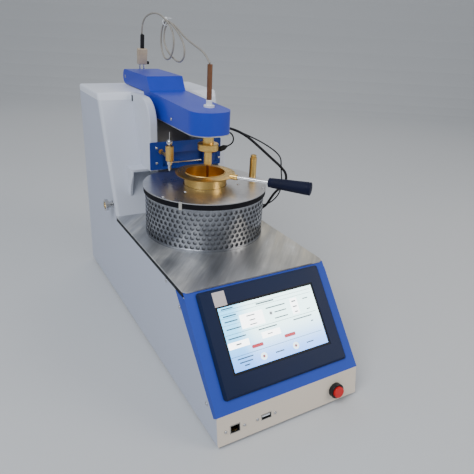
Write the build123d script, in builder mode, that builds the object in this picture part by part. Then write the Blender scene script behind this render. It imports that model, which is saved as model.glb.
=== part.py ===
from build123d import *
import os
from math import cos, hypot, radians, sin, tan

# Automatic open cup flash point tester for the bench. Millimetres, +Z up, +Y to the back.
# The origin is the middle of the footprint, on the surface that the feet stand on.

os.makedirs("parts", exist_ok=True)

# ---------------------------------------------------------------- driving dimensions
# "ahead" and "behind" are measured from the foot of the tower wall, at the back of the deck
# casing
width = 230.0
depth = 600.0
sheet = 2.0
cut_depth = 6.0
foot_height = 5.0
strip_height = 42.7
strip_lean = 6.6
display_run = 104.9
deck_height = 169.3
tower_top_depth = 124.4
tower_height = 369.5
tower_lean = 79.2
wall_corner_radius = 6.0
cover_skirt = 12.0
lid_edge_radius = 4.0
tray_flange = 14.0
flange_end_gap = 8.0
foot_radius = 10.0
foot_inset = 25.0
foot_chamfer = 1.2
vent_inset = 130.0
vent_height = 4.0
vent_slot_pitch = 10.0
vent_length = 60.0
vent_count = 7

# deck plate
plate_thickness = 2.0
plate_overhang = 3.0
plate_side_overhang = 0.5
plate_corner_radius = 8.0
gasket_height = 7.0
gasket_width = 6.0
gasket_set_back = 1.0
wiring_hole_radius = 14.0

# display
bezel_margin = 14.8
bezel_drop = 6.4
bezel_proud = 5.5
bezel_offset_x = 0.5
fold_top = 24.0
fold_bottom = 10.0
fold_sheet = 0.8
bezel_rise = 16.0
bezel_corner_radius = 4.0
bezel_chamfer = 3.0
bezel_lip = 4.0
glass_margin = 3.0
active_margin = 23.2
active_drop = 26.5
active_rise = 29.5
glass_recess = 0.8
module_margin = 7.0
module_depth = 22.0
fit_gap = 0.3

# front fittings, heights above the base
port_height = 19.0
network_inset = 25.5
network_cavity = (12.4, 9.6, 11.0)
usb_inset = 73.2
usb_cavity = (13.6, 6.2, 11.0)
socket_wall = 1.5
port_screw_offset = 14.0
button_inset = 39.5
button_height = 18.0
bezel_ring_radius = 11.0
bezel_ring_proud = 7.0
button_radius = 8.2
button_proud = 4.0
button_travel = 3.0
button_stroke_gap = 1.0
button_body_depth = 22.0
bezel_ring_round = 1.0
bezel_neck_wall = 1.2
button_round = 1.5

# heater and hot plate
heater_x = 4.5
heater_ahead = 103.5
disc_radius = 100.6
disc_top = 249.0
cover_thickness = 1.5
board_thickness = 8.5
board_setback = 0.6
shroud_radius = 97.3
shroud_wall = 1.2
shroud_band_height = 6.0
shroud_band_proud = 1.2
heating_plate_radius = 62.0
heating_plate_thickness = 19.0
element_radius = 36.0
element_width = 12.0
element_height = 7.0
stand_radius = 55.0
stand_column_radius = 5.0
stand_ring_height = 4.0
clip_thickness = 1.2
clip_width = 5.0
clip_hook = 5.0
clip_drop = 1.5
clip_start_angle = -137.0

# cup
cup_bore_radius = 31.75
cup_depth = 33.5
cup_wall = 3.2
cup_floor = 3.0
cup_rim = 269.5
cup_flange_radius = 49.0
cup_flange_thickness = 4.0
cup_gap = 0.75
cup_shoulder = 2.0
cup_flange_bevel = 6.0
cup_rim_step = 1.0
handle_angle = -50.0
handle_drop = 2.4
handle_rod_radius = 3.0
handle_root = 44.0
grip_start = 107.5
grip_end = 176.5
grip_radius = 10.5
grip_neck_radius = 7.5
grip_cap = 4.0
grip_round = 1.5
handle_boss_radius = 4.5
handle_boss_length = 12.0

# head of the tower, heights above the base
mid_x = 2.0
cheek_gap = 44.0
cheek_width = 14.0
cheek_front_ahead = 14.4
cheek_corner_radius = 40.0
cheek_round = 2.0
ledge_height = 250.0
ledge_front_behind = 2.6
ledge_half_width = 87.0
ledge_round = 6.0
ledge_lip = 8.0
ledge_gusset = 50.0
igniter_left = -57.0
igniter_right = 78.0
igniter_bottom = 252.0
igniter_top = 300.0
igniter_corner_radius = 2.0
recess_left = -34.0
recess_right = 70.0
recess_bottom = 256.5
recess_top = 280.5
recess_depth = 9.0

# arm, heights above the top of the tower
arm_half_width = 34.0
arm_wall = 2.0
arm_nose_ahead = 143.4
arm_nose_radius = 28.0
arm_bottom_rise = -34.5
arm_nose_top_rise = 0.0
arm_deck_behind = 46.6
arm_deck_top_rise = 5.5
arm_block_behind = 60.6
arm_block_top_rise = 28.5
arm_floor_thickness = 1.6
floor_inset = 0.5
rib_height = 12.0
clamp_radius = 8.0
clamp_height = 10.0
lead_clip = (6.0, 6.0, 5.6)
arm_gap = 1.5
wall_gap = 2.5
pivot_behind = 179.6
hinge_radius = 13.5
shaft_radius = 3.0
running_gap = 0.05
saddle_length = 60.0
ear_thickness = 5.0
gearbox_length = 32.0
gearbox_width = 28.0
can_radius = 10.0
can_length = 42.0

# probe and flash detector, heights above the base
probe_x = 10.5
probe_ahead = 99.4
probe_radius = 4.0
probe_top_rise = 64.5
probe_tip_radius = 2.0
probe_tip_bottom = 241.5
collar_radius = 8.5
collar_neck_radius = 4.75
collar_top_rise = 12.5
collar_flange = 3.0
collar_sink = 1.0
collar_chamfer = 1.0
stem_radius = 6.5
stem_bottom = 278.5
ring_radius = 17.0
ring_bottom = 303.0
ring_top = 314.0
sleeve_radius = 9.0
ring_bevel = 1.0
boot_root_z = 303.0
boot_stalk_radius = 1.7
boot_stalk_part = 0.34
boot_swell_start = 0.54
boot_swell_end = 0.78
boot_swell_radius = 4.3

# burner, heights above the base
burner_x = -38.0
burner_ahead = 56.4
burner_radius = 6.75
burner_chamfer = 0.8
burner_bottom = 278.0
burner_top = 303.0
spindle_radius = 2.5
spindle_gap = 0.3
hub_radius = 4.5
hub_height = 5.0
jet_height = 275.0
jet_radius = 1.1
jet_reach = 57.5
nozzle_bottom = 261.0
nozzle_radius = 3.0
stud_radius = 1.5
bracket_radius = 3.0
bracket_height = 284.0
nut_radius = 4.5
nut_thickness = 3.0
knob_radius = 5.2
knob_flat = 1.0
needle_radius = 0.6
needle_top = 326.0

# connector on the arm's rear block
connector_x = 1.5
connector_behind = 177.2
connector_radius = 7.25
connector_step = 2.0
connector_height = 39.0
connector_lean = 4.8
connector_chamfer = 1.5
connector_screw_height = 17.0
boot_radius = 3.8
boot_height = 25.0

# cables
probe_cable_diameter = 3.0
heater_lead_diameter = 4.5
sensor_lead_diameter = 2.4
ring_lead_diameter = 2.4
heater_lead_angle = 8.0
heater_lead_straight = (16.0, 18.0)
sensor_lead_angle = 16.0
sensor_lead_straight = (15.0, 14.0)
heater_lead_end_inset = 45.0
sensor_lead_end_inset = 31.0
shroud_gland_z = 183.0
wall_gland_z = 307.0
gland_radius = 5.0
gland_length = 9.0
gland_bore_depth = 3.0

# side and rear fittings
side_knob_behind = 20.6
side_knob_above_deck = 16.7
side_knob_radius = 10.4
side_knob_reach = 15.0
side_knob_rim = 6.0
side_knob_hub = 5.5
knob_groove_count = 20
knob_groove_radius = 0.8
valve_stem_radius = 3.0
valve_neck_radius = 5.0
valve_washer_radius = 7.0
valve_shift = 9.0
valve_washer = 1.5
valve_size = 26.0
valve_bore_depth = 14.0
post_x = 95.0
post_ahead = 104.4
post_radius = 6.0
post_top = 289.0
# down from the post's top and in from its side, both in steps of the neck
post_neck = 1.6
post_steps = [(3.0, 0.0), (2.4, 1.0), (1.8, 1.0), (1.4, 0.5), (1.0, 0.5), (0.0, 1.5)]
barb_radius = 4.0
barb_reach = 8.2
barb_hex_radius = 7.0
barb_hex = 4.0
gas_pan_size = 36.0
gas_pan_depth = 14.0
gas_inlet_inset = 35.0
gas_inlet_height = 60.0
inlet_inset = 45.0
inlet_height = 50.0
inlet_body = (27.0, 20.0)
inlet_flange = 8.0
inlet_depth = 24.0
inlet_pin = (2.0, 4.0)
inlet_pin_offset = 2.0
inlet_pin_pitch = 14.0
inlet_pin_length = 9.0
fan_x = -20.0
fan_height = 80.0
fan_size = 60.0
fan_depth = 15.0
fan_bore_radius = 28.0
fan_hub_radius = 11.0
fan_hub = 3.0
fan_strut = 3.0
fan_pin_radius = 2.0
fan_clearance = 1.0
fan_blades = 7
blade_pitch = 35.0
blade_chord = 10.0
blade_thickness = 1.2
vent_rings = 3
inner_vents = 6
vent_pitch = 7.5
vent_radius = 2.2
supply_x = 40.0
supply_from_back = 130.0
supply_size = (98.0, 150.0, 38.0)
supply_slots = 6
supply_slot_pitch = 12.0
board_x = 20.0
board_from_back = 360.0
board_size = (150.0, 200.0)
board_margin = 12.0
board_sheet = 1.6
board_chips = [(0.0, 0.0, 28.0, 28.0, 3.0), (-45.0, 50.0, 30.0, 20.0, 15.0), (45.0, -60.0, 24.0, 40.0, 18.0)]
standoff_radius = 3.0
standoff_height = 8.0
screw_radius = 3.0
small_screw_radius = 2.2
rim_screw_circle = 96.0
rim_screw_start = -37.0
inner_screw_circle = 55.0
inner_screw_start = -30.0
screw_under_deck = (57.5, 12.0)
screw_by_slope = (10.0, 28.9)
screw_over_strip = (28.7, 0.8)
igniter_screws = [(-45.5, 295.6), (-45.5, 269.0), (49.5, 295.6), (75.0, 269.0)]
screw_head = 1.6

# ---------------------------------------------------------------- derived places
base_z = foot_height
front_y = -depth / 2
back_y = depth / 2
half_width = width / 2
strip_top_y = front_y + strip_lean
strip_top_z = base_z + strip_height
deck_front_y = strip_top_y + display_run
deck_z = base_z + deck_height
tower_top_y = back_y - tower_top_depth
deck_back_y = tower_top_y - tower_lean
heater_y = deck_back_y - heater_ahead
cheek_front_y = deck_back_y - cheek_front_ahead
ledge_front_y = deck_back_y + ledge_front_behind
arm_nose_y = deck_back_y - arm_nose_ahead
arm_deck_y = deck_back_y + arm_deck_behind
arm_block_y = deck_back_y + arm_block_behind
pivot_y = deck_back_y + pivot_behind
probe_y = deck_back_y - probe_ahead
burner_y = deck_back_y - burner_ahead
connector_y = deck_back_y + connector_behind
post_y = deck_back_y - post_ahead
side_knob_y = deck_back_y + side_knob_behind
supply_y = back_y - supply_from_back
board_y = back_y - board_from_back
network_x = network_inset - half_width
usb_x = usb_inset - half_width
button_x = half_width - button_inset
gas_inlet_x = gas_inlet_inset - half_width
inlet_x = half_width - inlet_inset
heater_lead_end_x = half_width - heater_lead_end_inset
sensor_lead_end_x = half_width - sensor_lead_end_inset
bezel_width = width - 2 * bezel_margin
active_width = bezel_width - 2 * active_margin
slope_length = hypot(display_run, deck_height - strip_height)
bezel_height = slope_length - bezel_rise - bezel_drop
active_height = bezel_height - active_rise - active_drop
side_screws = [
    (deck_front_y + screw_under_deck[0], deck_z - screw_under_deck[1]),
    (deck_front_y + screw_by_slope[0], deck_z - screw_by_slope[1]),
    (strip_top_y + screw_over_strip[0], strip_top_z + screw_over_strip[1]),
]
side_knob_height = deck_height + side_knob_above_deck
arm_bottom = tower_height + arm_bottom_rise
arm_nose_top = tower_height + arm_nose_top_rise
arm_deck_top = tower_height + arm_deck_top_rise
arm_block_top = tower_height + arm_block_top_rise
collar_top = tower_height + collar_top_rise
probe_top = tower_height + probe_top_rise
tower_z = base_z + tower_height
disc_z = base_z + disc_top
board_top_z = disc_z - cover_thickness
board_bottom_z = board_top_z - board_thickness
plate_bottom_z = deck_z - plate_thickness
panel_top_z = plate_bottom_z - gasket_height
skirt_z = tower_z - cover_skirt
wall_slope = tower_lean / (tower_height - deck_height)
cup_rim_z = base_z + cup_rim
cup_floor_z = cup_rim_z - cup_depth
cup_bottom_z = cup_floor_z - cup_floor
cup_radius = cup_bore_radius + cup_wall
recess_radius = cup_radius + cup_gap
ledge_z = base_z + ledge_height
pivot_z = base_z + arm_block_top - hinge_radius


def wall_y(z):
    """Front face of the leaning tower wall at height z."""
    return deck_back_y + (z - deck_z) * wall_slope


def inset_corners(points, distance):
    """Corners of the outline moved inwards by a distance, for an outline listed clockwise."""
    corners = []
    for index, corner in enumerate(points):
        before = points[index - 1]
        after = points[(index + 1) % len(points)]
        run_in = hypot(corner[0] - before[0], corner[1] - before[1])
        run_out = hypot(after[0] - corner[0], after[1] - corner[1])
        u = ((corner[0] - before[0]) / run_in, (corner[1] - before[1]) / run_in)
        v = ((after[0] - corner[0]) / run_out, (after[1] - corner[1]) / run_out)
        n = (u[1] + v[1], -u[0] - v[0])
        reach = distance / (1 + u[0] * v[0] + u[1] * v[1])
        corners.append((corner[0] + n[0] * reach, corner[1] + n[1] * reach))
    return corners


def bend_radii(points):
    """One radius for each corner of a cord's route, as large as its two runs allow."""
    corners = [Vector(*point) for point in points]
    radii = []
    for before, corner, after in zip(corners, corners[1:], corners[2:]):
        run_in = corner - before
        run_out = after - corner
        half_turn = radians(run_in.get_angle(run_out)) / 2
        radii.append(0.45 * min(run_in.length, run_out.length) / tan(half_turn))
    return radii


# the casing's side outline in Y and Z, clockwise from the lower front corner
outline = [
    (front_y, base_z),
    (strip_top_y, strip_top_z),
    (deck_front_y, deck_z),
    (deck_back_y, deck_z),
    (tower_top_y, tower_z),
    (back_y, tower_z),
    (back_y, base_z),
]
inner = inset_corners(outline, sheet)

# tilted planes: the front strip, the display slope and the tower wall
strip_dir = Vector(0, strip_lean, strip_height).normalized()
slope_dir = Vector(0, display_run, deck_height - strip_height).normalized()
wall_dir = Vector(0, tower_lean, tower_height - deck_height).normalized()
across = Vector(1, 0, 0)
slope_plane = Plane(origin=(0, strip_top_y, strip_top_z), x_dir=across, z_dir=across.cross(slope_dir))
wall_plane = Plane(origin=(0, deck_back_y, deck_z), x_dir=across, z_dir=across.cross(wall_dir))


def on_strip(x, height):
    """Plane on the front strip's outer face, its normal pointing out of the casing."""
    y = front_y + strip_lean * height / strip_height
    return Plane(origin=(x, y, base_z + height), x_dir=across, z_dir=across.cross(strip_dir))


# each lead ends inside a gland, and leaves it straight
lead_seat_depth = gland_length - gland_bore_depth


def shroud_seat(angle):
    """Foot of a gland on the heater's shroud, and the direction out of it."""
    out = Vector(cos(radians(angle)), sin(radians(angle)), 0)
    return Vector(heater_x, heater_y, shroud_gland_z) + out * (shroud_radius - shroud_wall / 2), out


def wall_seat(x):
    """Foot of a gland on the tower wall, and the direction out of it."""
    return Vector(x, wall_y(wall_gland_z), wall_gland_z), wall_plane.z_dir


def lead_points(angle, end_x, straight, middle):
    """Route of a lead from the shroud to the tower wall, through its middle points."""
    start, start_out = shroud_seat(angle)
    end, end_out = wall_seat(end_x)
    places = [start + start_out * lead_seat_depth, start + start_out * (lead_seat_depth + straight[0])]
    places += [Vector(x, deck_back_y - run, z) for x, run, z in middle]
    places += [end + end_out * (lead_seat_depth + straight[1]), end + end_out * lead_seat_depth]
    return [tuple(place) for place in places]


# routes of the four cables: across, ahead of the tower wall's foot, and up
probe_cable_places = [
    (1.5, -172.6, 92.5), (1.5, -169.8, 108.9), (1.6, -154.2, 121.0), (1.7, -137.6, 126.1),
    (1.7, -120.5, 129.0), (1.8, -103.2, 130.2), (1.8, -85.8, 129.2), (2.0, -68.8, 125.9),
    (2.0, -52.5, 120.0), (2.2, -36.6, 113.1), (2.6, -23.3, 102.1), (3.0, -20.2, 85.9),
    (3.4, -27.8, 70.3), (3.7, -40.9, 59.4), (4.0, -57.9, 56.6), (4.3, -73.6, 63.3),
    (4.7, -82.5, 78.0), (5.0, -83.3, 95.2), (5.3, -75.9, 110.6), (5.5, -61.9, 120.4),
    (5.6, -44.9, 118.2), (5.8, -28.7, 111.7), (5.9, -13.0, 104.4), (6.2, 1.8, 95.4),
    (6.5, 14.0, 83.4), (7.1, 13.3, 67.2), (7.4, -1.2, 58.2), (7.6, -18.4, 57.0),
    (7.8, -35.2, 61.2), (8.0, -51.8, 66.2), (8.2, -67.4, 73.9), (8.4, -79.0, 86.2),
    (8.7, -76.4, 103.0), (9.0, -64.4, 115.3), (9.0, -47.4, 116.7), (9.0, -30.5, 112.7),
    (9.1, -14.2, 106.8), (9.2, 1.6, 99.7), (9.3, 18.2, 94.5), (9.4, 34.9, 89.9),
    (9.4, 51.8, 86.0), (9.6, 68.8, 82.3), (10.1, 85.4, 76.1), (10.5, 98.9, 65.7),
]
heater_lead_places = [
    (134.0, 95.4, 193.0), (134.0, 107.4, 210.0), (142.4, 111.5, 225.8), (160.7, 111.9, 234.6),
    (164.2, 109.8, 253.4), (150.8, 107.7, 268.5), (135.5, 104.0, 281.6), (122.6, 95.1, 294.5),
    (113.5, 80.5, 305.4), (108.3, 62.5, 313.3), (102.8, 43.6, 318.6), (95.1, 24.9, 321.5),
    (86.0, 6.7, 322.2), (77.4, -11.7, 320.4),
]
sensor_lead_places = [
    (133.0, 78.4, 188.0), (141.4, 88.8, 192.8), (150.1, 95.4, 201.6), (158.4, 98.1, 212.8),
    (162.6, 98.5, 226.2), (162.4, 98.4, 240.3), (159.5, 98.6, 254.2), (159.3, 96.7, 267.8),
    (163.0, 88.9, 278.4), (159.2, 78.0, 286.6), (151.2, 68.6, 293.6), (141.9, 60.0, 300.0),
    (132.1, 51.5, 305.5), (123.0, 41.5, 310.1), (114.9, 30.5, 313.8), (107.6, 18.6, 316.5),
    (100.7, 6.4, 318.4), (93.9, -6.1, 319.2), (87.6, -18.7, 318.3),
]
ring_lead_places = [
    (35.8, -28.4), (43.5, -26.1), (47.3, -18.2), (44.0, -9.7), (36.0, -4.6), (27.5, -4.6),
]
probe_cable_points = [(x, deck_back_y - run, tower_z + rise) for x, run, rise in probe_cable_places]
heater_lead_points = lead_points(
    heater_lead_angle, heater_lead_end_x, heater_lead_straight, heater_lead_places
)
sensor_lead_points = lead_points(
    sensor_lead_angle, sensor_lead_end_x, sensor_lead_straight, sensor_lead_places
)
ring_lead_points = [(probe_x + x, probe_y, base_z + arm_bottom + rise) for x, rise in ring_lead_places]

network_plane = on_strip(network_x, port_height)
usb_plane = on_strip(usb_x, port_height)
button_plane = on_strip(button_x, button_height)
display_plane = Plane(
    origin=slope_plane.from_local_coords(Vector(bezel_offset_x, bezel_rise + bezel_height / 2, 0)),
    x_dir=slope_plane.x_dir,
    z_dir=slope_plane.z_dir,
)
active_shift = active_rise + active_height / 2 - bezel_height / 2
wall_length = hypot(tower_lean, tower_height - deck_height)
wall_back = wall_corner_radius * wall_length / (tower_height - deck_height)
plate_front_y = deck_front_y - plate_overhang
plate_back_y = wall_y(panel_top_z) + wall_back
inner_slope = display_run / (deck_height - strip_height)
standing = (Align.CENTER, Align.CENTER, Align.MIN)


def sheet_profile(first, second):
    """Mitred cross-section of the sheet that follows one side of the outline."""
    return [outline[first], outline[second], inner[second], inner[first]]


def handle_point(reach, height):
    """A point on the cup handle's line, at a distance from the cup's axis."""
    angle = radians(handle_angle)
    return (heater_x + reach * cos(angle), heater_y + reach * sin(angle), height)


# ---------------------------------------------------------------- casing
with BuildPart() as base_tray:
    with BuildSketch(Plane.YZ):
        with BuildLine():
            Polyline(*sheet_profile(6, 0), close=True)
        make_face()
    extrude(amount=half_width, both=True)
    flange_x = half_width - 1.5 * sheet
    flange_length = depth - 2 * flange_end_gap
    with Locations((-flange_x, 0, base_z + sheet), (flange_x, 0, base_z + sheet)):
        Box(sheet, flange_length, tray_flange, align=standing)
base_tray.part.label = "base_tray"
export_step(base_tray.part, "parts/base_tray.step")

with BuildPart() as feet:
    with BuildSketch():
        with GridLocations(width - 2 * foot_inset, depth - 2 * foot_inset, 2, 2):
            Circle(foot_radius)
    extrude(amount=foot_height)
    chamfer(feet.edges().group_by(Axis.Z)[0], length=foot_chamfer)
feet.part.label = "feet"
export_step(feet.part, "parts/feet.step")

slope_top_y = inner[1][0] + (panel_top_z - inner[1][1]) * inner_slope
panel_profile = [
    inner[0],
    inner[1],
    (slope_top_y, panel_top_z),
    (plate_back_y, panel_top_z),
    (wall_y(skirt_z) + wall_back, skirt_z),
    (inner[5][0], skirt_z),
    inner[6],
]

with BuildPart() as left_side_panel:
    with BuildSketch(Plane.YZ.offset(-half_width)):
        with BuildLine():
            Polyline(*panel_profile, close=True)
        make_face()
        with Locations((side_knob_y, base_z + side_knob_height)):
            Circle(valve_neck_radius, mode=Mode.SUBTRACT)
    extrude(amount=sheet)
left_side_panel.part.label = "left_side_panel"
export_step(left_side_panel.part, "parts/left_side_panel.step")

with BuildPart() as right_side_panel:
    with BuildSketch(Plane.YZ.offset(half_width - sheet)):
        with BuildLine():
            Polyline(*panel_profile, close=True)
        make_face()
        with Locations((back_y - vent_inset, base_z + vent_inset)):
            with GridLocations(0, vent_slot_pitch, 1, vent_count):
                SlotOverall(vent_length, vent_height, mode=Mode.SUBTRACT)
    extrude(amount=sheet)
right_side_panel.part.label = "right_side_panel"
export_step(right_side_panel.part, "parts/right_side_panel.step")

network_body = (network_cavity[0] + 2 * socket_wall, network_cavity[1] + 2 * socket_wall)
usb_body = (usb_cavity[0] + 2 * socket_wall, usb_cavity[1] + 2 * socket_wall)
bezel_neck_radius = button_radius + fit_gap + bezel_neck_wall

with BuildPart() as front_strip:
    with BuildSketch(Plane.YZ):
        with BuildLine():
            Polyline(*sheet_profile(0, 1), close=True)
        make_face()
    extrude(amount=half_width, both=True)
    with BuildSketch(network_plane):
        Rectangle(*network_body)
    extrude(amount=cut_depth, both=True, mode=Mode.SUBTRACT)
    with BuildSketch(usb_plane):
        Rectangle(*usb_body)
    extrude(amount=cut_depth, both=True, mode=Mode.SUBTRACT)
    with BuildSketch(button_plane):
        Circle(bezel_neck_radius)
    extrude(amount=cut_depth, both=True, mode=Mode.SUBTRACT)
front_strip.part.label = "front_strip"
export_step(front_strip.part, "parts/front_strip.step")

module_width = bezel_width - 2 * module_margin
module_height = bezel_height - 2 * module_margin

# both ends of the sheet fold back over the side panels, deeper at the top than at the bottom
slope_low = Vector(*outline[1])
slope_high = Vector(slope_low.X + (panel_top_z - slope_low.Y) * inner_slope, panel_top_z)
slope_back = Vector(deck_height - strip_height, -display_run) * (1 / slope_length)
fold_low = slope_low + slope_back * fold_bottom
fold_high_y = slope_high.X + fold_top * slope_length / (deck_height - strip_height)
fold_profile = [
    (slope_low.X, slope_low.Y),
    (fold_low.X, fold_low.Y),
    (fold_high_y, panel_top_z),
    (slope_high.X, panel_top_z),
]

with BuildPart() as display_frame:
    with BuildSketch(Plane.YZ):
        with BuildLine():
            Polyline(*sheet_profile(1, 2), close=True)
        make_face()
    extrude(amount=half_width, both=True)
    split(bisect_by=Plane.XY.offset(plate_bottom_z), keep=Keep.BOTTOM)
    for side in (-1, 1):
        with BuildSketch(Plane.YZ.offset(side * half_width)):
            with BuildLine():
                Polyline(*fold_profile, close=True)
            make_face()
        extrude(amount=side * fold_sheet)
    with BuildSketch(display_plane):
        Rectangle(module_width, module_height)
    extrude(amount=cut_depth, both=True, mode=Mode.SUBTRACT)
display_frame.part.label = "display_frame"
export_step(display_frame.part, "parts/display_frame.step")

with BuildPart() as top_plate:
    with BuildSketch(Plane.XY.offset(plate_bottom_z)):
        with Locations((0, plate_front_y)):
            plate_size = (width + 2 * plate_side_overhang, plate_back_y - plate_front_y)
            Rectangle(*plate_size, align=(Align.CENTER, Align.MIN))
        with Locations((heater_x, heater_y)):
            Circle(wiring_hole_radius, mode=Mode.SUBTRACT)
    extrude(amount=plate_thickness)
    fillet(top_plate.edges().filter_by(Axis.Z).group_by(Axis.Y)[0], radius=plate_corner_radius)
top_plate.part.label = "top_plate"
export_step(top_plate.part, "parts/top_plate.step")

with BuildPart() as plate_gasket:
    gasket_front_y = deck_front_y + gasket_set_back
    gasket_length = plate_back_y - gasket_front_y
    with BuildSketch(Plane.XY.offset(panel_top_z)):
        with Locations((0, gasket_front_y)):
            Rectangle(width, gasket_length, align=(Align.CENTER, Align.MIN))
        with Locations((0, gasket_front_y + gasket_width)):
            gasket_bore = (width - 2 * gasket_width, gasket_length - 2 * gasket_width)
            Rectangle(*gasket_bore, align=(Align.CENTER, Align.MIN), mode=Mode.SUBTRACT)
    extrude(amount=gasket_height)
plate_gasket.part.label = "plate_gasket"
export_step(plate_gasket.part, "parts/plate_gasket.step")

# the leaning wall is one folded sheet with round corners, cut off level at both ends
with BuildPart() as tower_front_wall:
    wall_section = Plane(origin=(0, deck_back_y, deck_z), x_dir=across, z_dir=wall_dir)
    with BuildSketch(wall_section.offset(-wall_length / 4)):
        with Locations((0, depth / 2)):
            RectangleRounded(width, depth, wall_corner_radius)
            inner_fold = wall_corner_radius - sheet
            RectangleRounded(width - 2 * sheet, depth - 2 * sheet, inner_fold, mode=Mode.SUBTRACT)
        with Locations((0, wall_corner_radius / 2)):
            Rectangle(width, wall_corner_radius, mode=Mode.INTERSECT)
    extrude(amount=1.5 * wall_length)
    split(bisect_by=Plane.XY.offset(deck_z), keep=Keep.TOP)
    split(bisect_by=Plane.XY.offset(skirt_z), keep=Keep.BOTTOM)
tower_front_wall.part.label = "tower_front_wall"
export_step(tower_front_wall.part, "parts/tower_front_wall.step")

# a shallow lid with a skirt; its front leans with the wall below it
with BuildPart() as tower_top_cover:
    lid_profile = [(wall_y(skirt_z), skirt_z), outline[4], outline[5], (back_y, skirt_z)]
    with BuildSketch(Plane.YZ):
        with BuildLine():
            Polyline(*lid_profile, close=True)
        make_face()
    extrude(amount=half_width, both=True)
    lid_front = tower_top_cover.faces().sort_by(Axis.Y)[0]
    lid_corners = lid_front.edges().group_by(Axis.X)[0] + lid_front.edges().group_by(Axis.X)[-1]
    fillet(lid_corners, radius=wall_corner_radius)
    fillet(tower_top_cover.faces().sort_by(Axis.Z)[-1].edges(), radius=lid_edge_radius)
    with BuildSketch(Plane.XY.offset(skirt_z)):
        with BuildLine():
            Polyline(
                (-half_width + sheet, wall_y(skirt_z) + wall_back),
                (-half_width + wall_back, wall_y(skirt_z) + 3 * sheet),
                (half_width - wall_back, wall_y(skirt_z) + 3 * sheet),
                (half_width - sheet, wall_y(skirt_z) + wall_back),
                (half_width - sheet, back_y - sheet),
                (-half_width + sheet, back_y - sheet),
                close=True,
            )
        make_face()
    extrude(amount=cover_skirt - sheet, mode=Mode.SUBTRACT)
tower_top_cover.part.label = "tower_top_cover"
export_step(tower_top_cover.part, "parts/tower_top_cover.step")

with BuildPart() as back_panel:
    back_height = skirt_z - inner[6][1]
    with BuildSketch(Plane.XZ.offset(-back_y)):
        with Locations((0, inner[6][1])):
            Rectangle(width, back_height, align=(Align.CENTER, Align.MIN))
        with Locations((inlet_x, base_z + inlet_height)):
            Rectangle(inlet_body[0], inlet_body[1], mode=Mode.SUBTRACT)
        with Locations((gas_inlet_x, base_z + gas_inlet_height)):
            Rectangle(gas_pan_size, gas_pan_size, mode=Mode.SUBTRACT)
        with Locations((fan_x, base_z + fan_height)):
            for ring in range(1, vent_rings + 1):
                with PolarLocations(ring * vent_pitch, inner_vents * ring):
                    Circle(vent_radius, mode=Mode.SUBTRACT)
    extrude(amount=sheet)
back_panel.part.label = "back_panel"
export_step(back_panel.part, "parts/back_panel.step")


# ---------------------------------------------------------------- front fittings
with BuildPart() as touch_bezel:
    with BuildSketch(display_plane):
        RectangleRounded(bezel_width, bezel_height, bezel_corner_radius)
    extrude(amount=bezel_proud)
    bezel_face = touch_bezel.faces().sort_by(Axis(display_plane.origin, display_plane.z_dir))[-1]
    chamfer(bezel_face.edges(), length=bezel_chamfer)
    with BuildSketch(display_plane):
        Rectangle(module_width - fit_gap, module_height - fit_gap)
    extrude(amount=-bezel_lip)
    with BuildSketch(display_plane.offset(bezel_proud)):
        with Locations((0, active_shift)):
            Rectangle(active_width + 2 * glass_margin, active_height + 2 * glass_margin)
    extrude(amount=-bezel_proud - bezel_lip, mode=Mode.SUBTRACT)
touch_bezel.part.label = "touch_bezel"
export_step(touch_bezel.part, "parts/touch_bezel.step")

with BuildPart() as touch_display:
    with BuildSketch(display_plane.offset(bezel_proud - glass_recess)):
        with Locations((0, active_shift)):
            glass_width = active_width + 2 * glass_margin - fit_gap
            glass_height = active_height + 2 * glass_margin - fit_gap
            Rectangle(glass_width, glass_height)
    extrude(amount=glass_recess - bezel_proud - bezel_lip)
    with BuildSketch(display_plane.offset(-bezel_lip)):
        Rectangle(module_width - fit_gap, module_height - fit_gap)
    extrude(amount=-module_depth)
touch_display.part.label = "touch_display"
export_step(touch_display.part, "parts/touch_display.step")

with BuildPart() as network_socket:
    with BuildSketch(network_plane):
        Rectangle(network_body[0] - fit_gap, network_body[1] - fit_gap)
    extrude(amount=-network_cavity[2] - socket_wall)
    with BuildSketch(network_plane):
        Rectangle(network_cavity[0], network_cavity[1])
    extrude(amount=-network_cavity[2], mode=Mode.SUBTRACT)
network_socket.part.label = "network_socket"
export_step(network_socket.part, "parts/network_socket.step")

with BuildPart() as usb_socket:
    with BuildSketch(usb_plane):
        Rectangle(usb_body[0] - fit_gap, usb_body[1] - fit_gap)
    extrude(amount=-usb_cavity[2] - socket_wall)
    with BuildSketch(usb_plane):
        Rectangle(usb_cavity[0], usb_cavity[1])
    extrude(amount=-usb_cavity[2], mode=Mode.SUBTRACT)
usb_socket.part.label = "usb_socket"
export_step(usb_socket.part, "parts/usb_socket.step")

# a black ring outside, a threaded neck through the strip and a closed body behind it
cap_front = bezel_ring_proud + button_proud
button_axis = Axis(button_plane.origin, button_plane.z_dir)
cap_back = -button_body_depth + button_travel + button_stroke_gap

with BuildPart() as button_bezel:
    with BuildSketch(button_plane):
        Circle(bezel_ring_radius)
    extrude(amount=bezel_ring_proud)
    fillet(button_bezel.edges().group_by(button_axis)[-1], radius=bezel_ring_round)
    with BuildSketch(button_plane):
        Circle(bezel_neck_radius - running_gap)
    extrude(amount=-button_body_depth - sheet)
    with BuildSketch(button_plane.offset(bezel_ring_proud)):
        Circle(button_radius + fit_gap)
    extrude(amount=-bezel_ring_proud - button_body_depth, mode=Mode.SUBTRACT)
button_bezel.part.label = "button_bezel"
export_step(button_bezel.part, "parts/button_bezel.step")

with BuildPart() as button_cap:
    with BuildSketch(button_plane.offset(cap_back)):
        Circle(button_radius)
    extrude(amount=cap_front - cap_back)
    fillet(button_cap.edges().group_by(button_axis)[-1], radius=button_round)
button_cap.part.label = "button_cap"
export_step(button_cap.part, "parts/button_cap.step")

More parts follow.
